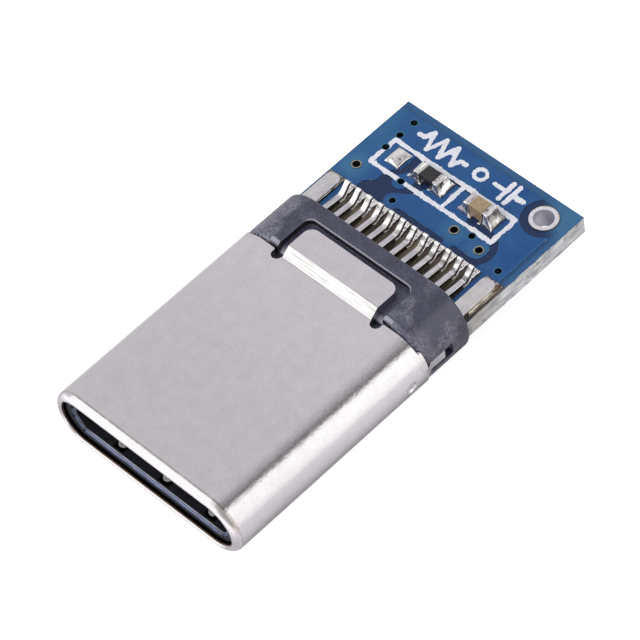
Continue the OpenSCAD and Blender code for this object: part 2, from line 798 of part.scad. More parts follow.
module chip_body(x, h)
    box(x - chip_l / 2 + chip_end, x + chip_l / 2 - chip_end, chip_y - chip_w / 2,
        chip_y + chip_w / 2, land_top, land_top + h);

module chip_ends(x, h)
    for (s = [0, 1]) translate([x, 0, 0]) mirror([s, 0, 0])
        box(chip_l / 2 - chip_end, chip_l / 2, chip_y - chip_w / 2, chip_y + chip_w / 2,
            land_top, land_top + h);

module resistor_body() color([0.1, 0.1, 0.11]) chip_body(resistor_x, resistor_h);
module resistor_ends() color([0.8, 0.8, 0.78]) chip_ends(resistor_x, resistor_h);
module capacitor_body() color([0.62, 0.5, 0.33]) chip_body(capacitor_x, capacitor_h);
module capacitor_ends() color([0.8, 0.8, 0.78]) chip_ends(capacitor_x, capacitor_h);

// Solder under the flared tip of each tail and behind it
module tail_solder() {
    path = contact_path();
    last = len(path) - 1;
    under_tip = [for (i = [last - 1:-1:last - 4]) beside(path, i, -contact_t)];
    for (i = [1:contacts])
        across(contact_x(i) - contact_w / 2, contact_x(i) + contact_w / 2) polygon(concat(
            [
                [tail_foot_y + 0.05, land_top], [land_end - 0.02, land_top],
                [tail_end + 0.06, land_top + 0.14]
            ],
            under_tip
        ));
}

module leg_solder()
    both_sides() for (s = [0, 1])
        translate([leg_x + leg_w / 2, 0, 0]) mirror([s, 0, 0]) translate([leg_w / 2, 0, 0])
            rotate([-90, 0, 0]) translate([0, -land_top, bare_y + 0.05])
                linear_extrude(leg_end - bare_y - 0.2)
                    polygon([[0, 0], [s == 1 ? 0.03 : 0.09, 0], [0, -plate_t * 0.8]]);

module solder_top() color([0.82, 0.82, 0.82]) {
    tail_solder();
    leg_solder();
}

module solder_bottom() color([0.82, 0.82, 0.82]) rotate([0, 180, 0]) tail_solder();

// Sloped solder at both ends of a chip part, and a low heap on the spare land
module chip_solder() color([0.82, 0.82, 0.82]) {
    for (c = [[resistor_x, resistor_h], [capacitor_x, capacitor_h]], s = [0, 1])
        translate([c[0], chip_y - chip_w / 2, land_top]) mirror([s, 0, 0])
            translate([chip_l / 2, 0, 0]) rotate([90, 0, 0]) mirror([0, 0, 1])
                linear_extrude(chip_w)
                    polygon([[0, 0], [0.26, 0], [0.1, c[1] * 0.4], [0, c[1] * 0.85]]);
    translate([spare_land_x, chip_y, land_top]) intersection() {
        translate([0, 0, -1.2]) sphere(r = 1.3);
        translate([0, 0, 0.5]) cube([chip_land_l - 0.04, chip_land_w - 0.04, 1], center = true);
    }
}

outer_shell();
front_housing();
shield_spring_top();
shield_spring_bottom();
carrier_top_row();
carrier_bottom_row();
middle_plate();
rear_collar();
bore_plating();
circuit_board();
lands_top();
lands_bottom();
via_plating();
printed_boxes();
resistor_body();
resistor_ends();
capacitor_body();
capacitor_ends();
solder_top();
solder_bottom();
chip_solder();
for (i = [1:contacts]) {
    contact_top(i);
    contact_bottom(i);
}
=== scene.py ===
import math
import bpy
import bmesh
import numpy as np
from mathutils import Matrix, Vector


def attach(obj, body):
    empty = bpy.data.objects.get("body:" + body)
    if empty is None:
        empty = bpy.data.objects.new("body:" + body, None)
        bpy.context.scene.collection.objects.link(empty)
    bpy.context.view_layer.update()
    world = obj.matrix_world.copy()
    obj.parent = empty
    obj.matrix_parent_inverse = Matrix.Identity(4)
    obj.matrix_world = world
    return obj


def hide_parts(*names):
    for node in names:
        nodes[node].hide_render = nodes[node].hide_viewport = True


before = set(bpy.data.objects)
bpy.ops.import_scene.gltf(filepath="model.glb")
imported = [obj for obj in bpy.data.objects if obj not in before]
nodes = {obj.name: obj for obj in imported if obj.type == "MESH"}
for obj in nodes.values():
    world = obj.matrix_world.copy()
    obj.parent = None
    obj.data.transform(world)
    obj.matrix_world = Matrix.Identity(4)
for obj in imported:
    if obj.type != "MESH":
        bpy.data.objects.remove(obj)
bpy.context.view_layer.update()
MM = 0.001

# Places and sizes in millimetres: Y runs back from the mouth, Z out of the board's top face
SIDE_X = 2.925
STEP_FRONT, STEP_REAR = 8.33, 8.74
COLLAR_END, UNDERSIDE = 10.62, -1.48
BOARD_TOP, LAND_TOP = 0.39, 0.42
COPPER_SIDE, COPPER_REAR = 3.6, 15.9
WIRE_HOLE = (2.95, 15.32)
COATED_VIAS = [(-3.09, 15.61), (-3.09, 14.93), (-3.11, 14.26), (-1.7, 13.51), (-1.37, 12.75), (1.64, 13.31),
               (3.27, 12.79)]
BARE_VIAS = [(-3.33, 13.1), (1.04, 13.12), (2.23, 13.01)]
TAILS, PITCH, CONTACT_HALF, LAND_HALF = 12, 0.5, 0.105, 0.15
FOOT_Y, TAIL_END, TAIL_LIFT, TAIL_T = 11.74, 12.17, 0.36, 0.13
CONTACT_Z, FOOT_Z = 0.6, 0.485
LAND_Y, LAND_END = 11.6, 12.4
CHIP_Y, CHIP_HALF, CHIP_HALF_W = 14.16, 0.5, 0.25
RESISTOR_X, CAPACITOR_X, SPARE_X = -0.95, 1.27, -2.43
BOX_LEFT, BOX_RIGHT, BOX_DIVIDE, BOX_FRONT, BOX_REAR, SIGN_Y = -3.06, 2.29, 0.07, 13.51, 14.69, 15.38
MERGE = 0.0005 * MM


# Node graph helpers
def feed(tree, node, values):
    """Link sockets to a node's inputs, and set plain values on them."""
    for key, value in values.items():
        if isinstance(value, bpy.types.NodeSocket):
            tree.links.new(value, node.inputs[key])
        else:
            node.inputs[key].default_value = value


def add(tree, kind, values=None, **settings):
    """New shader node with its settings, then its inputs by name or place."""
    node = tree.nodes.new("ShaderNode" + kind)
    for key, value in settings.items():
        setattr(node, key, value)
    feed(tree, node, values or {})
    return node


def calc(tree, operation, a, b=0.0, clamp=False):
    return add(tree, "Math", {0: a, 1: b}, operation=operation, use_clamp=clamp).outputs[0]


def mixed(tree, factor, a, b, blend="MIX"):
    node = add(tree, "Mix", {0: factor, 6: a, 7: b}, data_type="RGBA", blend_type=blend)
    return node.outputs[2]


def spread(tree, value, low, high, to_low=0.0, to_high=1.0):
    names = ["Value", "From Min", "From Max", "To Min", "To Max"]
    node = add(tree, "MapRange", dict(zip(names, [value, low, high, to_low, to_high])))
    node.clamp = True
    return node.outputs[0]


def noisy(tree, place, scale, detail=3.0, rough=0.55, distortion=0.0):
    return add(tree, "TexNoise", {"Vector": place, "Scale": scale, "Detail": detail,
                                  "Roughness": rough, "Distortion": distortion}).outputs[0]


def placed(tree, stretch=(1, 1, 1)):
    """Object coordinates in millimetres, stretched along the axes."""
    coord = add(tree, "TexCoord").outputs["Object"]
    size = tuple(s / MM for s in stretch)
    return add(tree, "Mapping", {"Vector": coord, "Scale": size}).outputs[0]


def axes(tree, place):
    return add(tree, "SeparateXYZ", {0: place}).outputs[:]


def group(name, inputs, outputs, build):
    """Node group with named inputs (name, kind, default) and outputs (name, kind)."""
    tree = bpy.data.node_groups.new(name, "ShaderNodeTree")
    for label, kind, default in inputs:
        made = tree.interface.new_socket(label, in_out="INPUT", socket_type="NodeSocket" + kind)
        made.default_value = default
    for label, kind in outputs:
        tree.interface.new_socket(label, in_out="OUTPUT", socket_type="NodeSocket" + kind)
    given = tree.nodes.new("NodeGroupInput")
    result = tree.nodes.new("NodeGroupOutput")
    values = build(tree, {s.name: s for s in given.outputs if s.name})
    for label, value in values.items():
        tree.links.new(value, result.inputs[label])
    return tree


def use(tree, shared, **values):
    """Place a shared node group, and give its outputs by name."""
    node = tree.nodes.new("ShaderNodeGroup")
    node.node_tree = shared
    feed(tree, node, values)
    return {s.name: s for s in node.outputs}


def rgb(r, g, b):
    return (r, g, b, 1.0)


# Shared effects
def build_mottle(tree, given):
    place = placed(tree)
    coarse = noisy(tree, place, given["Scale"], 4.0, 0.6)
    fine = noisy(tree, place, calc(tree, "MULTIPLY", given["Scale"], 9.0), 2.0, 0.6)
    both = calc(tree, "ADD", calc(tree, "MULTIPLY", coarse, 0.6), calc(tree, "MULTIPLY", fine, 0.4))
    value = spread(tree, both, 0.36, 0.64)
    return {"Color": mixed(tree, value, given["Dark"], given["Light"]), "Value": value}


def build_specks(tree, given):
    place = placed(tree)
    spots = noisy(tree, place, given["Scale"], 2.0, 0.5)
    edge = calc(tree, "SUBTRACT", 1.0, given["Amount"])
    mask = spread(tree, spots, calc(tree, "SUBTRACT", edge, 0.03), edge)
    return {"Mask": mask}


def build_relief(tree, given):
    """Fine relief of a depth in micrometres, and its height."""
    height = noisy(tree, placed(tree), given["Scale"], 3.0, 0.6)
    reach = calc(tree, "MULTIPLY", given["Depth"], 0.001 * MM)
    bump = add(tree, "Bump", {"Strength": 1.0, "Distance": reach, "Height": height})
    return {"Normal": bump.outputs[0], "Height": height}


MOTTLE = group("mottle", [("Scale", "Float", 5.0), ("Dark", "Color", rgb(0, 0, 0)),
                          ("Light", "Color", rgb(1, 1, 1))],
               [("Color", "Color"), ("Value", "Float")], build_mottle)
SPECKS = group("specks", [("Scale", "Float", 20.0), ("Amount", "Float", 0.35)],
               [("Mask", "Float")], build_specks)
RELIEF = group("relief", [("Scale", "Float", 20.0), ("Depth", "Float", 2.0)],
               [("Normal", "Vector"), ("Height", "Float")], build_relief)


def empty_tree(owner):
    """Node tree of a material or world, with nothing in it."""
    owner.use_nodes = True
    owner.node_tree.nodes.clear()
    return owner.node_tree


def material(name):
    made = bpy.data.materials.new(name)
    tree = empty_tree(made)
    shader = add(tree, "BsdfPrincipled")
    add(tree, "OutputMaterial", {"Surface": shader.outputs[0]})
    return made, tree, shader


def set_shader(tree, shader, **values):
    feed(tree, shader, {key.replace("_", " "): value for key, value in values.items()})


def satin_metal(name, dark, light, scale, low, high, depth=1.0, grain=25.0):
    made, tree, shader = material(name)
    tone = use(tree, MOTTLE, Scale=scale, Dark=rgb(*dark), Light=rgb(*light))
    ground = use(tree, RELIEF, Scale=grain, Depth=depth)
    set_shader(tree, shader, Base_Color=tone["Color"], Metallic=1.0,
               Roughness=spread(tree, tone["Value"], 0.0, 1.0, low, high), Normal=ground["Normal"])
    return made


def dark_plastic(name, dark, light, scale, low, high, depth=2.5, grain=18.0):
    made, tree, shader = material(name)
    tone = use(tree, MOTTLE, Scale=scale, Dark=rgb(*dark), Light=rgb(*light))
    ground = use(tree, RELIEF, Scale=grain, Depth=depth)
    set_shader(tree, shader, Base_Color=tone["Color"], Specular_IOR_Level=0.4,
               Roughness=spread(tree, tone["Value"], 0.0, 1.0, low, high), Normal=ground["Normal"])
    return made


def nickel_shell():
    """Satin nickel with an uneven drawn surface, streaked along the step, painted paler towards the step,
    painted dark inside the mouth as shade, with a painted dark reflection along the lip.
    """
    made, tree, shader = material("nickel_shell")
    tone = use(tree, MOTTLE, Scale=2.2, Dark=rgb(0.53, 0.494, 0.53), Light=rgb(0.575, 0.54, 0.578))
    grain = use(tree, MOTTLE, Scale=14.0, Dark=rgb(0.93, 0.93, 0.93), Light=rgb(1, 1, 1))
    plate = mixed(tree, 1.0, tone["Color"], grain["Color"], "MULTIPLY")
    x, y, z = axes(tree, placed(tree))
    # Streaks along the step, and a painted dark reflection along the line where the front edge turns over
    step = calc(tree, "MULTIPLY", calc(tree, "GREATER_THAN", y, STEP_FRONT),
                calc(tree, "LESS_THAN", y, STEP_REAR))
    lines = noisy(tree, placed(tree, (0.6, 16.0, 1.0)), 1.6, 3.0, 0.6)
    plate = mixed(tree, calc(tree, "MULTIPLY", step, spread(tree, lines, 0.5, 0.68)), plate,
                  rgb(0.36, 0.34, 0.33))
    turn = spread(tree, calc(tree, "ABSOLUTE", calc(tree, "SUBTRACT", y, 0.245)), 0.012, 0.04, 1.0, 0.0)
    lip_dark_reflection = spread(tree, noisy(tree, placed(tree), 16.0, 3.0, 0.7), 0.42, 0.58, 0.15, 0.75)
    plate = mixed(tree, calc(tree, "MULTIPLY", turn, lip_dark_reflection), plate, rgb(0.3, 0.26, 0.22))
    # Painted shade, brown-grey, inside the right end of the mouth just behind the lip
    end = calc(tree, "MULTIPLY", spread(tree, x, 2.95, 3.2), spread(tree, y, 0.3, 0.22))
    end = calc(tree, "MULTIPLY", end, spread(tree, z, 0.3, 0.6))
    end = calc(tree, "MULTIPLY", end, spread(tree, y, 0.05, 0.12))
    plate = mixed(tree, calc(tree, "MULTIPLY", end, 0.55), plate, rgb(0.24, 0.2, 0.17))
    # Painted light and shade: a little paler towards the step and darker just behind it, and painted shade
    # inside the mouth, brown near the lip and black further in, with brown tarnish along the mouth's inner
    # edge
    level = spread(tree, y, 3.0, 8.3, 0.965, 1.04)
    level = calc(tree, "SUBTRACT", level, spread(tree, y, 8.5, 8.6, 0.0, 0.035))
    level = add(tree, "CombineXYZ", {0: level, 1: level, 2: level}).outputs[0]
    plate = mixed(tree, 1.0, plate, level, "MULTIPLY")
    beyond = calc(tree, "MAXIMUM", calc(tree, "SUBTRACT", calc(tree, "ABSOLUTE", x), SIDE_X), 0.0)
    radius = calc(tree, "SQRT", calc(tree, "ADD", calc(tree, "MULTIPLY", beyond, beyond),
                                     calc(tree, "MULTIPLY", z, z)))
    hollow = calc(tree, "MULTIPLY", calc(tree, "LESS_THAN", radius, 1.03), calc(tree, "LESS_THAN", y, 8.3))
    inside_shade = mixed(tree, spread(tree, y, 0.09, 0.13), rgb(0.28, 0.17, 0.08), rgb(0.012, 0.01, 0.01))
    inside = calc(tree, "MULTIPLY", hollow, spread(tree, y, 0.08, 0.12))
    tarnish = calc(tree, "MULTIPLY", spread(tree, y, 0.055, 0.065), spread(tree, y, 0.1, 0.085))
    tarnish = calc(tree, "MULTIPLY", tarnish, spread(tree, radius, 1.025, 1.015))
    peel = calc(tree, "ADD", noisy(tree, placed(tree), 7.0, 4.0, 0.65),
                calc(tree, "MULTIPLY", noisy(tree, placed(tree), 30.0, 2.0), 0.3))
    bump = add(tree, "Bump", {"Strength": 1.0, "Distance": 0.009 * MM, "Height": peel})
    plate = mixed(tree, tarnish, mixed(tree, inside, plate, inside_shade), rgb(0.2, 0.105, 0.045))
    set_shader(tree, shader, Base_Color=plate, Metallic=calc(tree, "SUBTRACT", 1.0, tarnish),
               Roughness=spread(tree, grain["Value"], 0.0, 1.0, 0.13, 0.2), Normal=bump.outputs[0])
    return made


def housing_surface():
    """Black moulding, with a painted pale-blue reflection on the slopes round the mouth."""
    made, tree, shader = material("housing_plastic")
    tone = use(tree, MOTTLE, Scale=6.0, Dark=rgb(0.01, 0.01, 0.013), Light=rgb(0.024, 0.024, 0.03))
    dust = use(tree, SPECKS, Scale=16.0, Amount=0.27)
    body = mixed(tree, calc(tree, "MULTIPLY", dust["Mask"], 0.25), tone["Color"], rgb(0.3, 0.31, 0.36))
    x, y = axes(tree, placed(tree))[:2]
    # Painted reflection: pale-blue bands across the slopes round the mouth, ragged at their edges and darker
    # towards the mouth's ends
    sheen_noise = noisy(tree, placed(tree, (0.6, 3.0, 1.0)), 5.0, 3.0, 0.6)
    deep = calc(tree, "ADD", y, spread(tree, sheen_noise, 0.35, 0.65, -0.012, 0.012))
    pale = mixed(tree, spread(tree, deep, 0.225, 0.255), rgb(0.016, 0.017, 0.03), rgb(0.2, 0.235, 0.42))
    pale = mixed(tree, spread(tree, deep, 0.265, 0.285), pale, rgb(0.1, 0.11, 0.17))
    pale = mixed(tree, spread(tree, deep, 0.295, 0.31), pale, rgb(0.34, 0.36, 0.44))
    ends = spread(tree, calc(tree, "ABSOLUTE", x), 2.7, 2.95, 0.0, 0.6)
    ends = calc(tree, "MULTIPLY", ends, spread(tree, sheen_noise, 0.4, 0.55))
    pale = mixed(tree, ends, pale, rgb(0.02, 0.02, 0.03))
    flat = calc(tree, "ABSOLUTE", axes(tree, add(tree, "NewGeometry").outputs["Normal"])[1])
    slope = calc(tree, "MULTIPLY", calc(tree, "LESS_THAN", flat, 0.93), calc(tree, "LESS_THAN", y, 0.335))
    ground = use(tree, RELIEF, Scale=14.0, Depth=1.5)
    set_shader(tree, shader, Base_Color=mixed(tree, slope, body, pale),
               Specular_IOR_Level=0.2, Roughness=0.35, Normal=ground["Normal"])
    return made


def collar_surface():
    """Slate moulding with a painted reflection on its right end, painted highlights on its rounded ends and
    along the rims round the recess, painted shade on the recess wall, fine scratches and dust.
    """
    made, tree, shader = material("collar_plastic")
    tone = use(tree, MOTTLE, Scale=2.4, Dark=rgb(0.024, 0.024, 0.052), Light=rgb(0.066, 0.067, 0.122))
    grain = use(tree, MOTTLE, Scale=11.0, Dark=rgb(0.55, 0.55, 0.6), Light=rgb(1.1, 1.1, 1.1))
    body = mixed(tree, 1.0, tone["Color"], grain["Color"], "MULTIPLY")
    x, y, z = axes(tree, placed(tree))
    # Painted reflection: the right end lighter and bluer
    right = calc(tree, "MULTIPLY", spread(tree, x, 2.3, 3.2), spread(tree, z, 0.5, 1.0))
    body = mixed(tree, calc(tree, "MULTIPLY", right, 0.4), body, rgb(0.085, 0.08, 0.13))
    # Painted highlights, in rubbed-looking mottled spots, on the rounded ends
    lobes = spread(tree, calc(tree, "ABSOLUTE", x), 1.9, 2.7)
    lobe_highlights = calc(tree, "MULTIPLY", spread(tree, noisy(tree, placed(tree), 1.1, 2.0), 0.48, 0.6),
                   spread(tree, noisy(tree, placed(tree, (1.0, 2.5, 1.0)), 9.0, 3.0, 0.7), 0.42, 0.62))
    body = mixed(tree, calc(tree, "MULTIPLY", calc(tree, "MULTIPLY", lobes, lobe_highlights), 0.8), body,
                 rgb(0.27, 0.265, 0.33))
    # Painted highlight on the rims that face the front round the tab's recess, and painted shade on the
    # recess wall
    turned = axes(tree, add(tree, "NewGeometry").outputs["Normal"])
    recess = calc(tree, "MULTIPLY", calc(tree, "LESS_THAN", y, 10.25), calc(tree, "GREATER_THAN", z, 1.0))
    recess = calc(tree, "MULTIPLY", recess, calc(tree, "LESS_THAN", calc(tree, "ABSOLUTE", x), 2.7))
    rim = calc(tree, "MULTIPLY", spread(tree, turned[1], -0.2, -0.4), spread(tree, turned[1], -0.9, -0.75))
    body = mixed(tree, calc(tree, "MULTIPLY", recess, calc(tree, "MULTIPLY", rim, 0.6)), body,
                 rgb(0.4, 0.4, 0.46))
    wall = spread(tree, turned[2], 0.5, 0.3)
    body = mixed(tree, calc(tree, "MULTIPLY", recess, wall), body, rgb(0.006, 0.006, 0.009))
    # Scratches and dust
    streak = noisy(tree, placed(tree, (1.0, 7.0, 3.0)), 2.6, 4.0, 0.7, 1.2)
    scratch = spread(tree, calc(tree, "ABSOLUTE", calc(tree, "SUBTRACT", streak, 0.5)), 0.01, 0.0)
    dust = use(tree, SPECKS, Scale=13.0, Amount=0.26)
    pale = calc(tree, "MAXIMUM", calc(tree, "MULTIPLY", scratch, 0.2),
                calc(tree, "MULTIPLY", dust["Mask"], 0.4))
    ground = use(tree, RELIEF, Scale=6.0, Depth=9.0)
    set_shader(tree, shader, Base_Color=mixed(tree, pale, body, rgb(0.3, 0.3, 0.34)),
               Specular_IOR_Level=0.5, Normal=ground["Normal"],
               Roughness=spread(tree, grain["Value"], 0.0, 1.0, 0.22, 0.42))
    return made


def contact_surface():
    """Tinned contacts: grey along the tail, bright where solder wets the tip, brown on the cut sides."""
    made, tree, shader = material("contact_alloy")
    x, y = axes(tree, placed(tree))[:2]
    lines = noisy(tree, placed(tree, (14.0, 1.2, 1.0)), 1.5, 3.0, 0.6)
    tail = mixed(tree, spread(tree, lines, 0.38, 0.62), rgb(0.37, 0.355, 0.39), rgb(0.56, 0.545, 0.585))
    wetted = use(tree, MOTTLE, Scale=5.0, Dark=rgb(0.62, 0.585, 0.6), Light=rgb(0.84, 0.795, 0.82))
    edge = calc(tree, "ADD", y, calc(tree, "MULTIPLY", noisy(tree, placed(tree), 4.0, 2.0), 0.12))
    top = mixed(tree, spread(tree, edge, 11.7, 11.78), tail, wetted["Color"])
    # Dull solder creeping over the bend, more of it at the right
    creep = noisy(tree, placed(tree), 5.5, 3.0, 0.6)
    bend = spread(tree, calc(tree, "ABSOLUTE", calc(tree, "SUBTRACT", edge, 11.87)), 0.05, 0.1, 1.0, 0.0)
    dull = spread(tree, calc(tree, "ADD", creep, spread(tree, x, -3.0, 1.5, -0.2, 0.2)), 0.44, 0.6)
    solder = mixed(tree, spread(tree, creep, 0.42, 0.62), rgb(0.1, 0.095, 0.1), rgb(0.3, 0.29, 0.32))
    top = mixed(tree, calc(tree, "MULTIPLY", bend, dull), top, solder)
    side = calc(tree, "ABSOLUTE", axes(tree, add(tree, "NewGeometry").outputs["Normal"])[0])
    cut = use(tree, MOTTLE, Scale=7.0, Dark=rgb(0.05, 0.038, 0.028), Light=rgb(0.2, 0.165, 0.13))
    ground = use(tree, RELIEF, Scale=9.0, Depth=2.5)
    set_shader(tree, shader, Base_Color=mixed(tree, spread(tree, side, 0.75, 0.9), top, cut["Color"]),
               Metallic=1.0, Roughness=spread(tree, lines, 0.3, 0.7, 0.18, 0.3), Normal=ground["Normal"])
    return made


def land_surface(dark, light, shade):
    """Tinned copper, with a painted shadow outlining the wire hole, dark on one side and tan on the side
    painted as lit, and a wall down it painted pale as painted light.
    """
    made, tree, shader = material("tinned_copper")
    tone = use(tree, MOTTLE, Scale=9.0, Dark=rgb(*dark), Light=rgb(*light))
    x, y, z = axes(tree, placed(tree))
    across = add(tree, "CombineXYZ", {0: x, 1: y}).outputs[0]
    away = add(tree, "VectorMath", {0: across, 1: (*WIRE_HOLE, 0.0)}, operation="DISTANCE").outputs["Value"]
    # Painted shadow round the ring's outer edge, dark on one side and tan where it is painted as lit
    outline = calc(tree, "MULTIPLY", spread(tree, away, 0.485, 0.51), calc(tree, "LESS_THAN", away, 0.7))
    lit = spread(tree, calc(tree, "ADD", x, y), 18.0, 18.6)
    brown = mixed(tree, lit, rgb(0.035, 0.028, 0.022), rgb(0.3, 0.23, 0.13))
    tone["Color"] = mixed(tree, outline, tone["Color"], brown)
    # Painted light: the sides and the wall down the hole take a plain pale colour
    face = calc(tree, "GREATER_THAN", calc(tree, "ABSOLUTE", z), 0.405)
    ground = use(tree, RELIEF, Scale=12.0, Depth=2.0)
    set_shader(tree, shader, Base_Color=mixed(tree, face, rgb(*shade), tone["Color"]), Metallic=1.0,
               Roughness=spread(tree, tone["Value"], 0.0, 1.0, 0.25, 0.4), Normal=ground["Normal"])
    return made


def via_surface():
    """Thin tan ring round each bare via, fading into the coating, painted dim down the hole as shade, with
    painted glints.
    """
    made, tree, shader = material("gold_plating")
    tone = use(tree, MOTTLE, Scale=9.0, Dark=rgb(0.2, 0.17, 0.13), Light=rgb(0.46, 0.42, 0.33))
    x, y, z = axes(tree, placed(tree))
    across = add(tree, "CombineXYZ", {0: x, 1: y}).outputs[0]
    radius = 9.0
    for via in BARE_VIAS:
        away = add(tree, "VectorMath", {0: across, 1: (*via, 0.0)}, operation="DISTANCE")
        radius = calc(tree, "MINIMUM", away.outputs["Value"], radius)
    rim = mixed(tree, spread(tree, radius, 0.165, 0.195), tone["Color"], rgb(0.06, 0.17, 0.26))
    rim = mixed(tree, spread(tree, radius, 0.15, 0.135), rim, rgb(0.03, 0.03, 0.035))
    face = calc(tree, "GREATER_THAN", calc(tree, "ABSOLUTE", z), 0.36)
    # Painted shade down the hole, with painted glints
    glint = mixed(tree, spread(tree, noisy(tree, placed(tree), 6.0, 2.0), 0.5, 0.65), rgb(0.05, 0.06, 0.09),
                  rgb(0.4, 0.46, 0.6))
    ground = use(tree, RELIEF, Scale=12.0, Depth=2.0)
    set_shader(tree, shader, Base_Color=mixed(tree, face, glint, rim), Metallic=1.0,
               Roughness=spread(tree, tone["Value"], 0.0, 1.0, 0.3, 0.45), Normal=ground["Normal"])
    return made


def board_surface():
    """Blue coating over copper fields, gaps and margins, bare laminate round the tails, cut edges."""
    made, tree, shader = material("board_laminate")
    place = placed(tree)
    x, y, z = axes(tree, place)
    high, wide = calc(tree, "ABSOLUTE", z), calc(tree, "ABSOLUTE", x)
    up = calc(tree, "ABSOLUTE", axes(tree, add(tree, "NewGeometry").outputs["Normal"])[2])
    side = calc(tree, "LESS_THAN", up, 0.5)
    field = calc(tree, "GREATER_THAN", high, 0.383)
    # Coating over copper, paler towards the sides and round the bare vias, with a painted highlight along
    # the copper's right edge
    weave = use(tree, MOTTLE, Scale=9.0, Dark=rgb(0.88, 0.88, 0.88), Light=rgb(1, 1, 1))
    pale = spread(tree, x, -2.0, -3.9, 0.0, 0.45)
    pale = calc(tree, "ADD", pale, spread(tree, noisy(tree, place, 0.8, 3.0), 0.4, 0.65, 0.0, 0.3))
    for via in BARE_VIAS:
        near = add(tree, "VectorMath", {0: place, 1: (*via, BOARD_TOP)}, operation="DISTANCE")
        pale = calc(tree, "ADD", pale, spread(tree, near.outputs["Value"], 0.2, 0.65, 0.75, 0.0))
    past_side = calc(tree, "SUBTRACT", x, COPPER_SIDE)
    beyond = calc(tree, "MAXIMUM", past_side, calc(tree, "SUBTRACT", y, COPPER_REAR))
    copper_edge_highlight = spread(tree, past_side, -0.09, -0.02, 0.0, 0.5)
    pale = calc(tree, "ADD", pale, copper_edge_highlight, clamp=True)
    blue = mixed(tree, pale, rgb(0.019, 0.086, 0.275), rgb(0.048, 0.162, 0.325))
    blue = mixed(tree, 1.0, blue, weave["Color"], "MULTIPLY")
    # Margins at the right and rear edges, painted lighter as light scattered through the laminate and
    # lightest at the corner by the wire hole, with a painted shadow line beside the copper
    line = spread(tree, calc(tree, "ABSOLUTE", calc(tree, "SUBTRACT", beyond, 0.08)), 0.0, 0.06, 1.0, 0.0)
    line = calc(tree, "MULTIPLY", line, spread(tree, past_side, -0.05, 0.0, 0.3, 0.7))
    over_x, over_y = calc(tree, "SUBTRACT", x, WIRE_HOLE[0]), calc(tree, "SUBTRACT", y, WIRE_HOLE[1])
    corner = calc(tree, "MULTIPLY", spread(tree, over_x, -0.5, 0.1), spread(tree, over_y, -0.6, 0.0))
    corner = calc(tree, "MULTIPLY", corner, spread(tree, calc(tree, "ADD", over_x, over_y), -0.35, 0.3))
    margin = mixed(tree, corner, rgb(0.036, 0.112, 0.255), rgb(0.05, 0.155, 0.3))
    margin = mixed(tree, calc(tree, "MULTIPLY", line, calc(tree, "SUBTRACT", 1.0, corner)), margin,
                   rgb(0.014, 0.045, 0.13))
    outer = calc(tree, "MAXIMUM", spread(tree, beyond, 0.0, 0.04), corner)
    gap = mixed(tree, outer, rgb(0.016, 0.034, 0.096), margin)
    coated = mixed(tree, field, gap, blue)
    # Bare laminate round the tails and beside the right leg, brown with flux
    bare = calc(tree, "MULTIPLY", calc(tree, "LESS_THAN", y, 12.405), calc(tree, "LESS_THAN", wide, 2.93))
    bare = calc(tree, "MULTIPLY", bare, calc(tree, "GREATER_THAN", y, 10.86))
    bare = calc(tree, "MULTIPLY", bare, calc(tree, "SUBTRACT", 1.0, field))
    lines = noisy(tree, placed(tree, (9.0, 1.0, 1.0)), 1.3, 4.0, 0.65)
    flux = mixed(tree, spread(tree, lines, 0.38, 0.62), rgb(0.03, 0.023, 0.017), rgb(0.2, 0.16, 0.125))
    beside = calc(tree, "MULTIPLY", spread(tree, x, 3.66, 3.72), spread(tree, y, 12.6, 12.3))
    top = mixed(tree, calc(tree, "MAXIMUM", bare, beside), coated, flux)
    # Cut edges of the glass laminate
    streaks = noisy(tree, placed(tree, (1.0, 0.6, 4.0)), 2.6, 5.0, 0.65)
    fibre = mixed(tree, spread(tree, streaks, 0.35, 0.65), rgb(0.44, 0.44, 0.46), rgb(0.98, 0.98, 1.0))
    pits = use(tree, SPECKS, Scale=5.0, Amount=0.34)
    fibre = mixed(tree, calc(tree, "MULTIPLY", pits["Mask"], 0.5), fibre, rgb(0.16, 0.155, 0.15))
    fibre = mixed(tree, spread(tree, y, 12.4, 11.2, 0.0, 0.4), fibre, rgb(0.33, 0.27, 0.21))
    ragged = calc(tree, "ADD", high, spread(tree, noisy(tree, place, 5.0, 3.0), 0.35, 0.65, -0.03, 0.03))
    fibre = mixed(tree, spread(tree, ragged, 0.355, 0.365), fibre, rgb(0.04, 0.12, 0.27))
    ground = use(tree, RELIEF, Scale=9.0, Depth=1.0)
    rough = use(tree, RELIEF, Scale=6.0, Depth=10.0)
    turned = add(tree, "Mix", {0: side, 4: ground["Normal"], 5: rough["Normal"]}, data_type="VECTOR")
    set_shader(tree, shader, Base_Color=mixed(tree, side, top, fibre), Specular_IOR_Level=0.16,
               Roughness=spread(tree, side, 0.0, 1.0, 0.3, 0.85), Normal=turned.outputs[1])
    return made


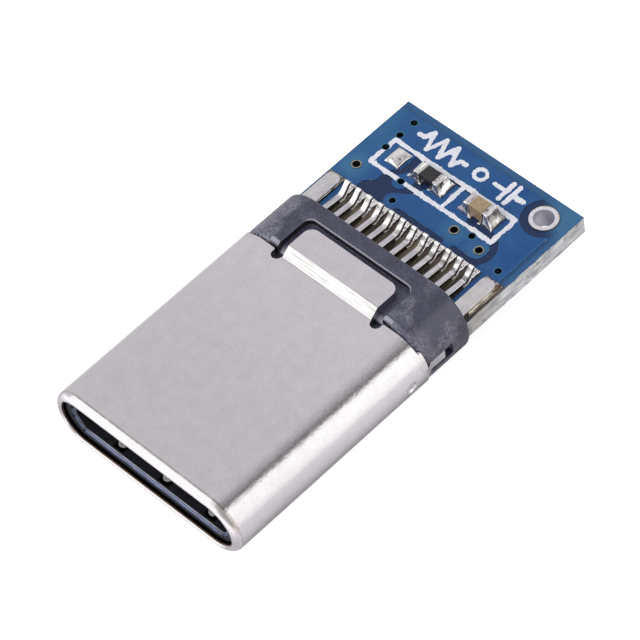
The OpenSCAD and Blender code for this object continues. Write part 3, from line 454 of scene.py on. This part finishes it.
def solder_surface(name, dark, light, flank_shade):
    """Bright solder with painted dark reflections on its steeper flanks, fewer on those facing the front,
    flux specks, brown along the legs.
    """
    made, tree, shader = material(name)
    tone = use(tree, MOTTLE, Scale=3.0, Dark=rgb(*dark), Light=rgb(*light))
    spots = use(tree, SPECKS, Scale=7.0, Amount=0.34)
    metal = mixed(tree, calc(tree, "MULTIPLY", spots["Mask"], 0.75), tone["Color"], rgb(0.13, 0.11, 0.1))
    # Painted dark reflections on the steeper flanks, fewer where they face the front
    turned = axes(tree, add(tree, "NewGeometry").outputs["Normal"])
    up = calc(tree, "ABSOLUTE", turned[2])
    up = calc(tree, "ADD", up, spread(tree, noisy(tree, placed(tree), 3.5, 3.0), 0.35, 0.65, -0.25, 0.2))
    up = calc(tree, "ADD", up, spread(tree, turned[1], -0.2, -0.7, 0.0, 0.6))
    metal = mixed(tree, spread(tree, up, 0.4, 0.75), rgb(*flank_shade), metal)
    x, y = axes(tree, placed(tree))[:2]
    legs = calc(tree, "MULTIPLY", calc(tree, "GREATER_THAN", calc(tree, "ABSOLUTE", x), 3.0),
                calc(tree, "LESS_THAN", y, 12.6))
    streaks = noisy(tree, placed(tree, (6.0, 0.8, 1.0)), 2.2, 3.0)
    flux = mixed(tree, spread(tree, streaks, 0.4, 0.65), rgb(0.09, 0.065, 0.045), rgb(0.5, 0.46, 0.42))
    ground = use(tree, RELIEF, Scale=5.0, Depth=4.0)
    set_shader(tree, shader, Base_Color=mixed(tree, legs, metal, flux), Metallic=1.0,
               Roughness=spread(tree, tone["Value"], 0.0, 1.0, 0.14, 0.26), Normal=ground["Normal"])
    return made


def print_surface():
    """White print, slightly uneven."""
    made, tree, shader = material("white_print")
    tone = use(tree, MOTTLE, Scale=7.0, Dark=rgb(0.7, 0.71, 0.8), Light=rgb(0.9, 0.91, 0.98))
    ground = use(tree, RELIEF, Scale=14.0, Depth=3.0)
    set_shader(tree, shader, Base_Color=tone["Color"], Roughness=0.55, Specular_IOR_Level=0.3,
               Normal=ground["Normal"])
    return made


LOOKS = {
    "nickel_shell": nickel_shell(),
    "housing_plastic": housing_surface(),
    "spring_steel": satin_metal("spring_steel", (0.6, 0.57, 0.56), (0.86, 0.82, 0.8), 7.0, 0.2, 0.3),
    "carrier_plastic": dark_plastic("carrier_plastic", (0.008, 0.008, 0.01), (0.02, 0.02, 0.024),
                                    6.0, 0.4, 0.5),
    "plate_steel": satin_metal("plate_steel", (0.45, 0.43, 0.45), (0.6, 0.575, 0.6), 2.5, 0.24, 0.36,
                               5.0, 3.5),
    "collar_plastic": collar_surface(),
    "board_laminate": board_surface(),
    "tinned_copper": land_surface((0.5, 0.48, 0.52), (0.8, 0.78, 0.84), (0.8, 0.76, 0.84)),
    "gold_plating": via_surface(),
    "white_print": print_surface(),
    "resistor_glaze": dark_plastic("resistor_glaze", (0.007, 0.007, 0.009), (0.018, 0.018, 0.022),
                                   9.0, 0.35, 0.5, 1.5),
    "chip_metal": solder_surface("chip_metal", (0.32, 0.3, 0.31), (0.66, 0.63, 0.65), (0.12, 0.1, 0.1)),
    "capacitor_ceramic": dark_plastic("capacitor_ceramic", (0.3, 0.215, 0.125), (0.42, 0.31, 0.185),
                                      6.0, 0.35, 0.5, 1.5),
    "contact_alloy": contact_surface(),
    "solder": solder_surface("solder", (0.5, 0.475, 0.495), (0.8, 0.765, 0.79), (0.16, 0.14, 0.14)),
}
SLOT_NODES = {
    "nickel_shell": ["outer_shell"],
    "housing_plastic": ["front_housing"],
    "spring_steel": ["shield_spring_top", "shield_spring_bottom"],
    "carrier_plastic": ["carrier_top_row", "carrier_bottom_row"],
    "plate_steel": ["middle_plate"],
    "collar_plastic": ["rear_collar"],
    "board_laminate": ["circuit_board"],
    "tinned_copper": ["lands_top", "lands_bottom", "bore_plating"],
    "gold_plating": ["via_plating"],
    "white_print": ["printed_boxes"],
    "resistor_glaze": ["resistor_body"],
    "chip_metal": ["resistor_ends", "capacitor_ends"],
    "capacitor_ceramic": ["capacitor_body"],
    "contact_alloy": [n for n in nodes if n.startswith("contact_")],
    "solder": ["solder_top", "solder_bottom", "chip_solder"],
}


def finish_node(obj, slot):
    obj.data.materials.clear()
    obj.data.materials.append(LOOKS[slot])


for slot_name, members in SLOT_NODES.items():
    for member in members:
        finish_node(nodes[member], slot_name)


def linked(name, data):
    obj = bpy.data.objects.new(name, data)
    bpy.context.scene.collection.objects.link(obj)
    return obj


# Pieces that stand for CAD nodes
def link_piece(name, mesh, slot, replaced):
    """Finished mesh as a piece of the part, shown in place of the CAD nodes that it stands for."""
    obj = linked(name, mesh)
    finish_node(obj, slot)
    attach(obj, "root")
    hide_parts(*replaced)


def weigh_normals(mesh, limit=50.0):
    """Corner normals weighted by face area, so that large faces keep their own direction."""
    around = {}
    for face in mesh.polygons:
        for v in face.vertices:
            around.setdefault(v, []).append((face.normal.copy(), face.area))
    least = math.cos(math.radians(limit))
    normals = []
    for face in mesh.polygons:
        for v in face.vertices:
            total = Vector()
            for normal, area in around[v]:
                if normal.dot(face.normal) > least:
                    total += normal * area
            normals.append(total.normalized() if total.length > 0 else face.normal)
    mesh.normals_split_custom_set(normals)


def softened(node, slot, width, angle=35.0, segments=2):
    """Copy of a CAD node with its sharp edges rounded."""
    bm = bmesh.new()
    bm.from_mesh(nodes[node].data)
    bmesh.ops.remove_doubles(bm, verts=bm.verts, dist=MERGE)
    bmesh.ops.dissolve_limit(bm, angle_limit=math.radians(0.5), verts=bm.verts, edges=bm.edges,
                             delimit={"NORMAL"})
    sharp = [e for e in bm.edges if len(e.link_faces) == 2
             and e.calc_face_angle(0.0) > math.radians(angle)]
    bmesh.ops.bevel(bm, geom=sharp, offset=width * MM, segments=segments, profile=0.5,
                    affect="EDGES", clamp_overlap=True)
    mesh = bpy.data.meshes.new(node + "_soft")
    bmesh.ops.triangulate(bm, faces=[f for f in bm.faces if len(f.verts) > 4])
    for face in bm.faces:
        face.smooth = True
    bm.to_mesh(mesh)
    bm.free()
    weigh_normals(mesh)
    link_piece(node + "_soft", mesh, slot, (node,))


def lattice(seed, step):
    """Smooth random field with values from -1 to 1, whose cells are step millimetres wide."""
    table = np.random.RandomState(seed).uniform(-1, 1, (64, 64))

    def value(x, y):
        u, v = np.asarray(x) / step, np.asarray(y) / step
        i, j = np.floor(u).astype(int), np.floor(v).astype(int)
        a, b = u - i, v - j
        a, b = a * a * (3 - 2 * a), b * b * (3 - 2 * b)

        def at(k, l):
            return table[k % 64, l % 64]
        return ((at(i, j) * (1 - a) + at(i + 1, j) * a) * (1 - b)
                + (at(i, j + 1) * (1 - a) + at(i + 1, j + 1) * a) * b)
    return value


def layer_mesh(name, field, x0, x1, y0, y1, step, z0, z1):
    """Flat layer where field is below zero: cut cells on top, and walls along its outline."""
    xs, ys = np.arange(x0, x1 + step, step), np.arange(y0, y1 + step, step)
    f = field(*np.meshgrid(xs, ys, indexing="ij"))
    f = np.where(np.abs(f) < 1e-6, 1e-6, f)
    inside = f < 0
    bm = bmesh.new()
    made = {}

    def vertex(a, b=None):
        key = (a, b) if b is None or a < b else (b, a)
        if key not in made:
            p = np.array([xs[a[0]], ys[a[1]]])
            if b is not None:
                t = f[a] / (f[a] - f[b])
                p = p + t * (np.array([xs[b[0]], ys[b[1]]]) - p)
            made[key] = bm.verts.new((p[0] * MM, p[1] * MM, z1 * MM))
        return made[key]

    some = inside[:-1, :-1] | inside[1:, :-1] | inside[1:, 1:] | inside[:-1, 1:]
    for i, j in np.argwhere(some):
        ring = [(i, j), (i + 1, j), (i + 1, j + 1), (i, j + 1)]
        outline = []
        for a, b in zip(ring, ring[1:] + ring[:1]):
            if inside[a]:
                outline.append(vertex(a))
            if inside[a] != inside[b]:
                outline.append(vertex(a, b))
        if len(outline) > 2:
            bm.faces.new(outline)
    rim = [e for e in bm.edges if len(e.link_faces) == 1]
    grown = bmesh.ops.extrude_edge_only(bm, edges=rim)["geom"]
    for v in grown:
        if isinstance(v, bmesh.types.BMVert):
            v.co.z = z0 * MM
    mesh = bpy.data.meshes.new(name)
    bmesh.ops.recalc_face_normals(bm, faces=bm.faces)
    bm.to_mesh(mesh)
    bm.free()
    return mesh


def segment(x, y, a, b):
    """Distance from a point to the line between a and b."""
    dx, dy = b[0] - a[0], b[1] - a[1]
    t = np.clip(((x - a[0]) * dx + (y - a[1]) * dy) / (dx * dx + dy * dy), 0, 1)
    return np.hypot(x - a[0] - t * dx, y - a[1] - t * dy)


def strokes(x, y, width, *paths):
    """Signed distance to lines of that width along the paths."""
    d = np.full(np.shape(x), 99.0)
    for path in paths:
        for a, b in zip(path, path[1:]):
            d = np.minimum(d, segment(x, y, a, b))
    return d - width / 2


def print_field(x, y):
    """Signed distance to the printed boxes and signs, with ragged edges, open over the vias."""
    fine, coarse, comb = lattice(3, 0.045), lattice(5, 0.3), lattice(7, 0.05)
    corners = [(BOX_LEFT, BOX_FRONT), (BOX_RIGHT, BOX_FRONT), (BOX_RIGHT, BOX_REAR), (BOX_LEFT, BOX_REAR)]
    boxes = strokes(x, y, 0.145, corners + corners[:1], [(BOX_DIVIDE, BOX_FRONT), (BOX_DIVIDE, BOX_REAR)])
    # Resistor sign, ring and capacitor sign
    zigzag = [(-2.6, SIGN_Y), (-2.38, SIGN_Y)]
    zigzag += [(-2.25 + 0.27 * k, SIGN_Y + (0.36 if k % 2 == 0 else -0.36)) for k in range(6)]
    zigzag += [(-0.77, SIGN_Y), (-0.52, SIGN_Y)]
    plates = [[(0.75, SIGN_Y), (1.25, SIGN_Y)], [(1.25, SIGN_Y - 0.4), (1.25, SIGN_Y + 0.4)],
              [(1.53, SIGN_Y - 0.4), (1.53, SIGN_Y + 0.4)], [(1.53, SIGN_Y), (2.0, SIGN_Y)]]
    signs = strokes(x, y, 0.15, zigzag, *plates)
    ring = np.abs(np.hypot(x - 0.13, y - SIGN_Y) - 0.22) - 0.07
    d = np.minimum(np.minimum(boxes, signs), ring)
    d = d + 0.016 * fine(x, y) + 0.016 * coarse(x, y)
    rough = np.clip(coarse(x + 9, y + 4) * 1.8 + 0.15, 0, 1)
    d = d - 0.055 * rough * np.abs(comb(x, y * 0.22))
    for via in COATED_VIAS:
        d = np.maximum(d, 0.15 - np.hypot(x - via[0], y - via[1]))
    return d


def make_print():
    mesh = layer_mesh("print", print_field, -3.3, 2.5, 13.35, 15.95, 0.022, BOARD_TOP, BOARD_TOP + 0.02)
    link_piece("print", mesh, "white_print", ("printed_boxes",))


def heap_mesh(name, x0, x1, y0, y1, height, base, nx, ny):
    """Solder heap on a rectangle: height(x, y) above it, walls and a flat bottom."""
    x, y = np.meshgrid(np.linspace(x0, x1, nx), np.linspace(y0, y1, ny), indexing="ij")
    z = np.maximum(height(x, y), base + 0.002)
    verts = [(a * MM, b * MM, c * MM) for a, b, c in zip(x.ravel(), y.ravel(), z.ravel())]
    faces = [(i * ny + j, (i + 1) * ny + j, (i + 1) * ny + j + 1, i * ny + j + 1)
             for i in range(nx - 1) for j in range(ny - 1)]
    rim = [i * ny for i in range(nx)] + [(nx - 1) * ny + j for j in range(1, ny)]
    rim += [i * ny + ny - 1 for i in range(nx - 2, -1, -1)] + [j for j in range(ny - 2, 0, -1)]
    low = len(verts)
    verts += [(verts[k][0], verts[k][1], base * MM) for k in rim]
    n = len(rim)
    faces += [(low + k, low + (k + 1) % n, rim[(k + 1) % n], rim[k]) for k in range(n)]
    faces.append(tuple(low + k for k in range(n - 1, -1, -1)))
    mesh = bpy.data.meshes.new(name)
    mesh.from_pydata(verts, [], faces)
    for face in mesh.polygons:
        face.use_smooth = len(face.vertices) == 4
    return mesh


def joined(name, meshes, slot, replaced):
    """Several meshes as one piece."""
    bm = bmesh.new()
    for mesh in meshes:
        bm.from_mesh(mesh)
    whole = bpy.data.meshes.new(name)
    bm.to_mesh(whole)
    bm.free()
    link_piece(name, whole, slot, replaced)


def block_distance(x, y, x0, x1, y0, y1):
    """Distance outside a rectangle, 0 inside it."""
    dx = np.maximum(np.maximum(x0 - x, x - x1), 0)
    dy = np.maximum(np.maximum(y0 - y, y - y1), 0)
    return np.hypot(dx, dy)


def border(x, y, x0, x1, y0, y1, width):
    """Rises from 0 at the rectangle's edge to 1 at that width inside it."""
    d = np.minimum(np.minimum(x - x0, x1 - x), np.minimum(y - y0, y1 - y))
    t = np.clip(d / width, 0, 1)
    return np.sqrt(np.maximum(0, 1 - (1 - t) ** 2))


def tail_x(i):
    return (i - (TAILS - 1) / 2) * PITCH


def tail_centre(y):
    """Height of a tail's centre line and its slope: down to the foot, then flaring up."""
    y = np.asarray(y, float)
    down = np.clip((FOOT_Y - y) / (FOOT_Y - COLLAR_END), 0, 1)
    rise = np.clip((y - FOOT_Y) / (TAIL_END - FOOT_Y), 0, 1)
    z = FOOT_Z + (CONTACT_Z - FOOT_Z) * down ** 1.5 + TAIL_LIFT * rise ** 1.5
    slope = (1.5 * TAIL_LIFT / (TAIL_END - FOOT_Y) * rise ** 0.5
             - 1.5 * (CONTACT_Z - FOOT_Z) / (FOOT_Y - COLLAR_END) * down ** 0.5 * (y > COLLAR_END))
    return z, slope


def under_tip(y):
    """Height of a tail's under side above its land."""
    z, slope = tail_centre(y)
    return z - TAIL_T / 2 * np.sqrt(1 + slope ** 2) - LAND_TOP


def tail_sweep(cx, side, seed):
    """One tail with rounded edges and a rounded end, swept along its centre line."""
    rs = np.random.RandomState(seed)
    ys = np.concatenate([np.linspace(10.3, 11.5, 9), np.linspace(11.56, TAIL_END, 16)])
    shift, lean = rs.uniform(-0.008, 0.008), rs.uniform(-0.012, 0.012)
    half_w, half_t, r = CONTACT_HALF, TAIL_T / 2, 0.032
    ring = []
    for sx, sz, start in ((1, 1, 0), (-1, 1, 90), (-1, -1, 180), (1, -1, 270)):
        for k in range(4):
            a = math.radians(start + 30 * k)
            ring.append((sx * (half_w - r) + r * math.cos(a), sz * (half_t - r) + r * math.sin(a)))
    verts, faces = [], []
    stations = [(y, 1.0) for y in ys] + [(TAIL_END, 0.82), (TAIL_END, 0.45)]
    for k, (y, size) in enumerate(stations):
        z, slope = tail_centre(y)
        length = math.sqrt(1 + slope ** 2)
        ahead = 0.0 if size == 1.0 else 0.02 if size > 0.5 else 0.03
        for u, v in ring:
            u, v = u * (0.5 + size / 2), v * size
            bend = np.clip((y - FOOT_Y) / (TAIL_END - FOOT_Y), 0, 1)
            verts.append(((cx + u + shift * bend) * MM, (y - v * slope / length + ahead / length) * MM,
                          side * (z + v / length + ahead * slope / length + lean * bend) * MM))
    n = len(ring)
    for k in range(len(stations) - 1):
        for i in range(n):
            a, b = k * n + i, k * n + (i + 1) % n
            faces.append((a, b, b + n, a + n) if side < 0 else (a, a + n, b + n, b))
    first, last = tuple(range(n)), tuple(range((len(stations) - 1) * n, len(stations) * n))
    faces += [first[::-1], last] if side < 0 else [first, last[::-1]]
    return verts, faces


def soldered_contact(node, i, side):
    """Contact cut off inside the collar, with a swept tail in place of its straight one."""
    bm = bmesh.new()
    bm.from_mesh(nodes[node].data)
    bmesh.ops.remove_doubles(bm, verts=bm.verts, dist=MERGE)
    bmesh.ops.bisect_plane(bm, geom=bm.verts[:] + bm.edges[:] + bm.faces[:], clear_outer=True,
                           plane_co=(0, 10.35 * MM, 0), plane_no=(0, 1, 0))
    open_edges = [e for e in bm.edges if e.is_boundary]
    bmesh.ops.holes_fill(bm, edges=open_edges)
    verts, faces = tail_sweep(tail_x(i), side, 60 + i + 20 * (side < 0))
    made = [bm.verts.new(v) for v in verts]
    for face in faces:
        bm.faces.new([made[k] for k in face]).smooth = True
    bmesh.ops.recalc_face_normals(bm, faces=bm.faces)
    for edge in bm.edges:
        edge.smooth = len(edge.link_faces) != 2 or edge.calc_face_angle(0.0) < math.radians(40)
    mesh = bpy.data.meshes.new(node + "_soft")
    bm.to_mesh(mesh)
    bm.free()
    link_piece(node + "_soft", mesh, "contact_alloy", (node,))


def tail_heap(i, side):
    """Low uneven solder under the flared tip of one tail."""
    cx = tail_x(i)
    rs = np.random.RandomState(20 + i + 40 * side)
    fill, lean = rs.uniform(0.06, 0.11), rs.uniform(-0.3, 0.3)
    lumps, small = lattice(30 + i + 20 * side, 0.09), lattice(31 + i + 20 * side, 0.05)
    x0, x1 = cx - LAND_HALF, cx + LAND_HALF

    def height(x, y):
        across = (x - cx) / LAND_HALF
        h = fill * (1 + lean * across) + 0.025 * lumps(x, y) + 0.014 * small(x, y)
        h = h * border(x, y, x0, x1, LAND_Y + 0.22, LAND_END, 0.06)
        below = np.abs(x - cx) < CONTACT_HALF + 0.02
        h = np.where(below & (y < TAIL_END), np.minimum(h, under_tip(y) - 0.004), h)
        return LAND_TOP + np.maximum(h, 0.002)
    return heap_mesh("tail_heap", x0, x1, LAND_Y, LAND_END - 0.01, height, LAND_TOP, 15, 36)


def leg_heap(side):
    """Thin solder round one leg."""
    lumps = lattice(70, 0.12)
    x0, x1, y0, y1 = 3.12, 3.82, 10.88, 12.42

    def height(x, y):
        d = block_distance(x, y, 3.16, 3.72, 0, 12.3)
        h = 0.075 * np.exp(-(d / 0.03) ** 1.2) + 0.014 + 0.01 * lumps(x * side, y)
        return LAND_TOP + h * border(x, y, x0, x1, y0, y1, 0.03)
    mesh = heap_mesh("leg_heap", x0, x1, y0, y1, height, LAND_TOP, 30, 50)
    if side < 0:
        mesh.transform(Matrix.Scale(-1, 4, (1, 0, 0)))
        mesh.flip_normals()
    return mesh


def turned_over(mesh):
    """The same mesh on the board's underside."""
    mesh.transform(Matrix.Rotation(math.pi, 4, "Y"))
    return mesh


def chip_heap(cx, high, side, seed):
    """Solder that climbs one end of a chip part."""
    lumps, small = lattice(seed, 0.2), lattice(seed + 1, 0.07)
    middle = cx + side * 0.46
    x0, x1 = middle - 0.31, middle + 0.31
    y0, y1 = CHIP_Y - 0.37, CHIP_Y + 0.37

    def height(x, y):
        out = (x - cx) * side - CHIP_HALF
        d = np.hypot(np.maximum(out, 0), np.maximum(np.abs(y - CHIP_Y) - CHIP_HALF_W, 0) * 1.6)
        along = np.clip(((x - cx) * side - 0.2) / 0.22, 0, 1)
        climb = high * 0.95 * np.exp(-(d / 0.14) ** 1.2) * along * along * (3 - 2 * along)
        h = climb + 0.045 + 0.03 * lumps(x, y) + 0.004 * small(x, y)
        h = np.where((x - cx) * side < 0.28, h * 0.25, h)
        return LAND_TOP + h * border(x, y, x0, x1, y0, y1, 0.1)
    return heap_mesh("chip_heap", x0, x1, y0, y1, height, LAND_TOP, 34, 38)


def spare_heap():
    """Low dome of solder on the land that carries no part."""
    lumps = lattice(91, 0.28)
    half_w, half_l = 0.31, 0.37
    x0, x1, y0, y1 = SPARE_X - half_w, SPARE_X + half_w, CHIP_Y - half_l, CHIP_Y + half_l

    def height(x, y):
        u, v = (x - SPARE_X) / half_w, (y - CHIP_Y) / half_l
        h = 0.13 * (1 - 0.5 * u * u - 0.4 * v * v) + 0.03 * lumps(x, y)
        return LAND_TOP + np.maximum(h, 0.01) * border(x, y, x0, x1, y0, y1, 0.09)
    return heap_mesh("spare_heap", x0, x1, y0, y1, height, LAND_TOP, 34, 38)


def make_solder():
    """Solder on the tails and legs above and below the board, and on the chip parts."""
    top = [tail_heap(i, 0) for i in range(TAILS)] + [leg_heap(1), leg_heap(-1)]
    joined("tail_solder", top, "solder", ("solder_top",))
    low = [turned_over(tail_heap(i, 1)) for i in range(TAILS)]
    low += [turned_over(leg_heap(1)), turned_over(leg_heap(-1))]
    joined("tail_solder_low", low, "solder", ("solder_bottom",))
    chips = [chip_heap(RESISTOR_X, 0.35, -1, 80), chip_heap(RESISTOR_X, 0.35, 1, 82),
             chip_heap(CAPACITOR_X, 0.5, -1, 84), chip_heap(CAPACITOR_X, 0.5, 1, 86), spare_heap()]
    joined("chip_solder_heaps", chips, "solder", ("chip_solder",))


make_print()
make_solder()
softened("outer_shell", "nickel_shell", 0.02)
softened("rear_collar", "collar_plastic", 0.03)
softened("middle_plate", "plate_steel", 0.02)
for node in ("resistor_ends", "capacitor_ends"):
    softened(node, "chip_metal", 0.03, segments=3)
softened("resistor_body", "resistor_glaze", 0.02)
softened("capacitor_body", "capacitor_ceramic", 0.015)
for i in range(TAILS):
    soldered_contact(f"contact_top_{i + 1}", i, 1)
    soldered_contact(f"contact_bottom_{i + 1}", i, -1)


# Stage: floor, lamp, and glowing or dim sheets that only reflections see
def floor_surface():
    """Pale floor, white to the eye except in the shadow, and in reflections glowing brighter in front and
    further out to the right, dimmer close beside the object as painted shade.
    """
    made, tree, shader = material("floor")
    tone = use(tree, MOTTLE, Scale=0.05, Dark=rgb(0.88, 0.88, 0.88), Light=rgb(0.9, 0.9, 0.9))
    path = add(tree, "LightPath")
    x, y = axes(tree, placed(tree))[:2]
    front = spread(tree, y, -0.8, -4.2, 0.0, 1.15)
    reach = calc(tree, "MAXIMUM", calc(tree, "SUBTRACT", x, 4.1), 0.0)
    fall = calc(tree, "EXPONENT", calc(tree, "MULTIPLY", reach, -0.55))
    right = calc(tree, "ADD", calc(tree, "MULTIPLY", calc(tree, "SUBTRACT", 1.0, fall), 0.34),
                 spread(tree, x, 12.0, 45.0, 0.0, 0.3))
    mirrored = calc(tree, "ADD", calc(tree, "MAXIMUM", front, right), 0.06)
    glow = calc(tree, "ADD", calc(tree, "MULTIPLY", path.outputs["Is Camera Ray"], 0.8),
                calc(tree, "MULTIPLY", path.outputs["Is Glossy Ray"], mirrored))
    set_shader(tree, shader, Base_Color=tone["Color"], Roughness=0.8, Specular_IOR_Level=0.1,
               Emission_Color=rgb(1, 1, 1), Emission_Strength=glow)
    return made


def arc_x(x, angle):
    """Direction with that X, whose YZ part leans by angle degrees from +Z towards +Y."""
    r = math.sqrt(1 - x * x)
    return Vector((x, r * math.sin(math.radians(angle)), r * math.cos(math.radians(angle))))


def arc_y(y, angle):
    """Direction with that Y, whose XZ part leans by angle degrees from +Z towards +X."""
    r = math.sqrt(1 - y * y)
    return Vector((r * math.sin(math.radians(angle)), y, r * math.cos(math.radians(angle))))


def make_floor():
    mesh = bpy.data.meshes.new("floor")
    corners = [(-1.0, -0.99), (1.0, -0.99), (1.0, 1.01), (-1.0, 1.01)]
    mesh.from_pydata([(x, y, UNDERSIDE * MM) for x, y in corners], [], [(0, 1, 2, 3)])
    mesh.materials.append(floor_surface())
    linked("floor", mesh)


def glow_sheet(name, origin, arc, fixed, start, end, tones, tint=(1, 1, 1)):
    """Sheet seen only in reflections, over the arc from start to end, its glow along the arc in tones."""
    steps = 24
    verts, values = [], []
    half = math.tan(math.radians(SHEET_HALF_ANGLE)) * SHEET_REACH
    for k in range(steps + 1):
        share = k / steps
        centre = arc(fixed, start + (end - start) * share)
        nearby = arc(fixed, start + (end - start) * share + 0.5)
        across = centre.cross(nearby - centre).normalized()
        verts += [Vector(origin) + centre * SHEET_REACH + across * half * s for s in (-1, 1)]
        place = share * (len(tones) - 1)
        low = min(int(place), len(tones) - 2)
        values += [tones[low] + (tones[low + 1] - tones[low]) * (place - low)] * 2
    faces = [(2 * k, 2 * k + 2, 2 * k + 3, 2 * k + 1) for k in range(steps)]
    mesh = bpy.data.meshes.new(name)
    mesh.from_pydata(verts, [], faces)
    tone = mesh.attributes.new("tone", "FLOAT", "POINT")
    tone.data.foreach_set("value", values)
    made = bpy.data.materials.new(name)
    tree = empty_tree(made)
    read = add(tree, "Attribute", attribute_name="tone")
    glow = add(tree, "Emission", {"Color": rgb(*tint), "Strength": read.outputs["Fac"]})
    add(tree, "OutputMaterial", {"Surface": glow.outputs[0]})
    mesh.materials.append(made)
    obj = linked(name, mesh)
    obj.visible_camera = obj.visible_diffuse = obj.visible_shadow = False
    obj.visible_transmission = obj.visible_volume_scatter = False


def lamp(name, toward, distance, size, level):
    """Soft lamp for shading and shadow that reflections don't see."""
    data = bpy.data.lights.new(name, "AREA")
    data.shape = "SQUARE"
    data.size = size
    data.energy = level * math.pi * size * size
    obj = linked(name, data)
    d = Vector(toward).normalized()
    pose = d.to_track_quat("Z", "Y").to_matrix().to_4x4()
    obj.matrix_world = Matrix.Translation(CENTRE + d * distance) @ pose
    obj.visible_glossy = False


CENTRE = Vector((0, 8.5 * MM, 0))
LIP = (0, 0.2 * MM, 1.0 * MM)
SIDE = (3.5 * MM, 4.5 * MM, 0.5 * MM)
LIP_X, SIDE_Y = -0.48, 0.385
SHEET_REACH, SHEET_HALF_ANGLE = 0.3, 30
make_floor()
lamp("soft_lamp", (-0.35, -0.5, 0.8), 0.25, 0.2, 2.8)
glow_sheet("front_sheet", LIP, arc_x, LIP_X, 2, -88, [1.9, 1.9, 1.9], (1.0, 1.05, 0.985))
glow_sheet("lip_line", LIP, arc_x, LIP_X, 11, 2, [0.6, 0.05, 0.05])
glow_sheet("side_sheet", SIDE, arc_y, SIDE_Y, 31.6, 92, [1.95, 1.9, 1.8, 1.68], (1.0, 1.035, 0.97))
glow_sheet("side_fade", SIDE, arc_y, SIDE_Y, -20, 31.6, [1.0, 0.95, 0.77, 0.55, 0.28, 0.08])

# World: white to the eye and in reflections, softer as a light
world = bpy.data.worlds.new("studio")
bpy.context.scene.world = world
sky = empty_tree(world)
path = add(sky, "LightPath")
seen = calc(sky, "MAXIMUM", path.outputs["Is Camera Ray"], path.outputs["Is Glossy Ray"])
seen = calc(sky, "MAXIMUM", seen, path.outputs["Is Transmission Ray"])
strength = spread(sky, seen, 0.0, 1.0, 0.55, 1.0)
ground = add(sky, "Background", {"Color": rgb(1, 1, 1), "Strength": strength})
add(sky, "OutputWorld", {"Surface": ground.outputs[0]})

# Camera, fitted to the photo by the plug's known section: eye and aim in millimetres, focal length in pixels
AZ, EL, ROLL = math.radians(51.469), math.radians(51.928), math.radians(-9.216)
back = Vector((math.sin(AZ) * math.cos(EL), -math.cos(AZ) * math.cos(EL), math.sin(EL)))
level = Vector((math.cos(AZ), math.sin(AZ), 0))
upward = back.cross(level)
right = level * math.cos(ROLL) + upward * math.sin(ROLL)
above = -level * math.sin(ROLL) + upward * math.cos(ROLL)
DISTANCE, ASIDE, BELOW = 123.464, 0.765, 0.673
FOCAL_PX, PICTURE_PX, SENSOR = 3851.1, 640.0, 36.0
eye = (Vector((0, 9.0, 0)) + back * DISTANCE - right * ASIDE - above * BELOW) * MM
camera_data = bpy.data.cameras.new("camera")
camera_data.sensor_width = SENSOR
camera_data.lens = FOCAL_PX * SENSOR / PICTURE_PX
camera_data.clip_start, camera_data.clip_end = 0.01, 10.0
camera = linked("camera", camera_data)
turn = Matrix((right, above, back)).transposed()
camera.matrix_world = Matrix.Translation(eye) @ turn.to_4x4()
scene = bpy.context.scene
scene.camera = camera
scene.view_settings.view_transform = "Standard"
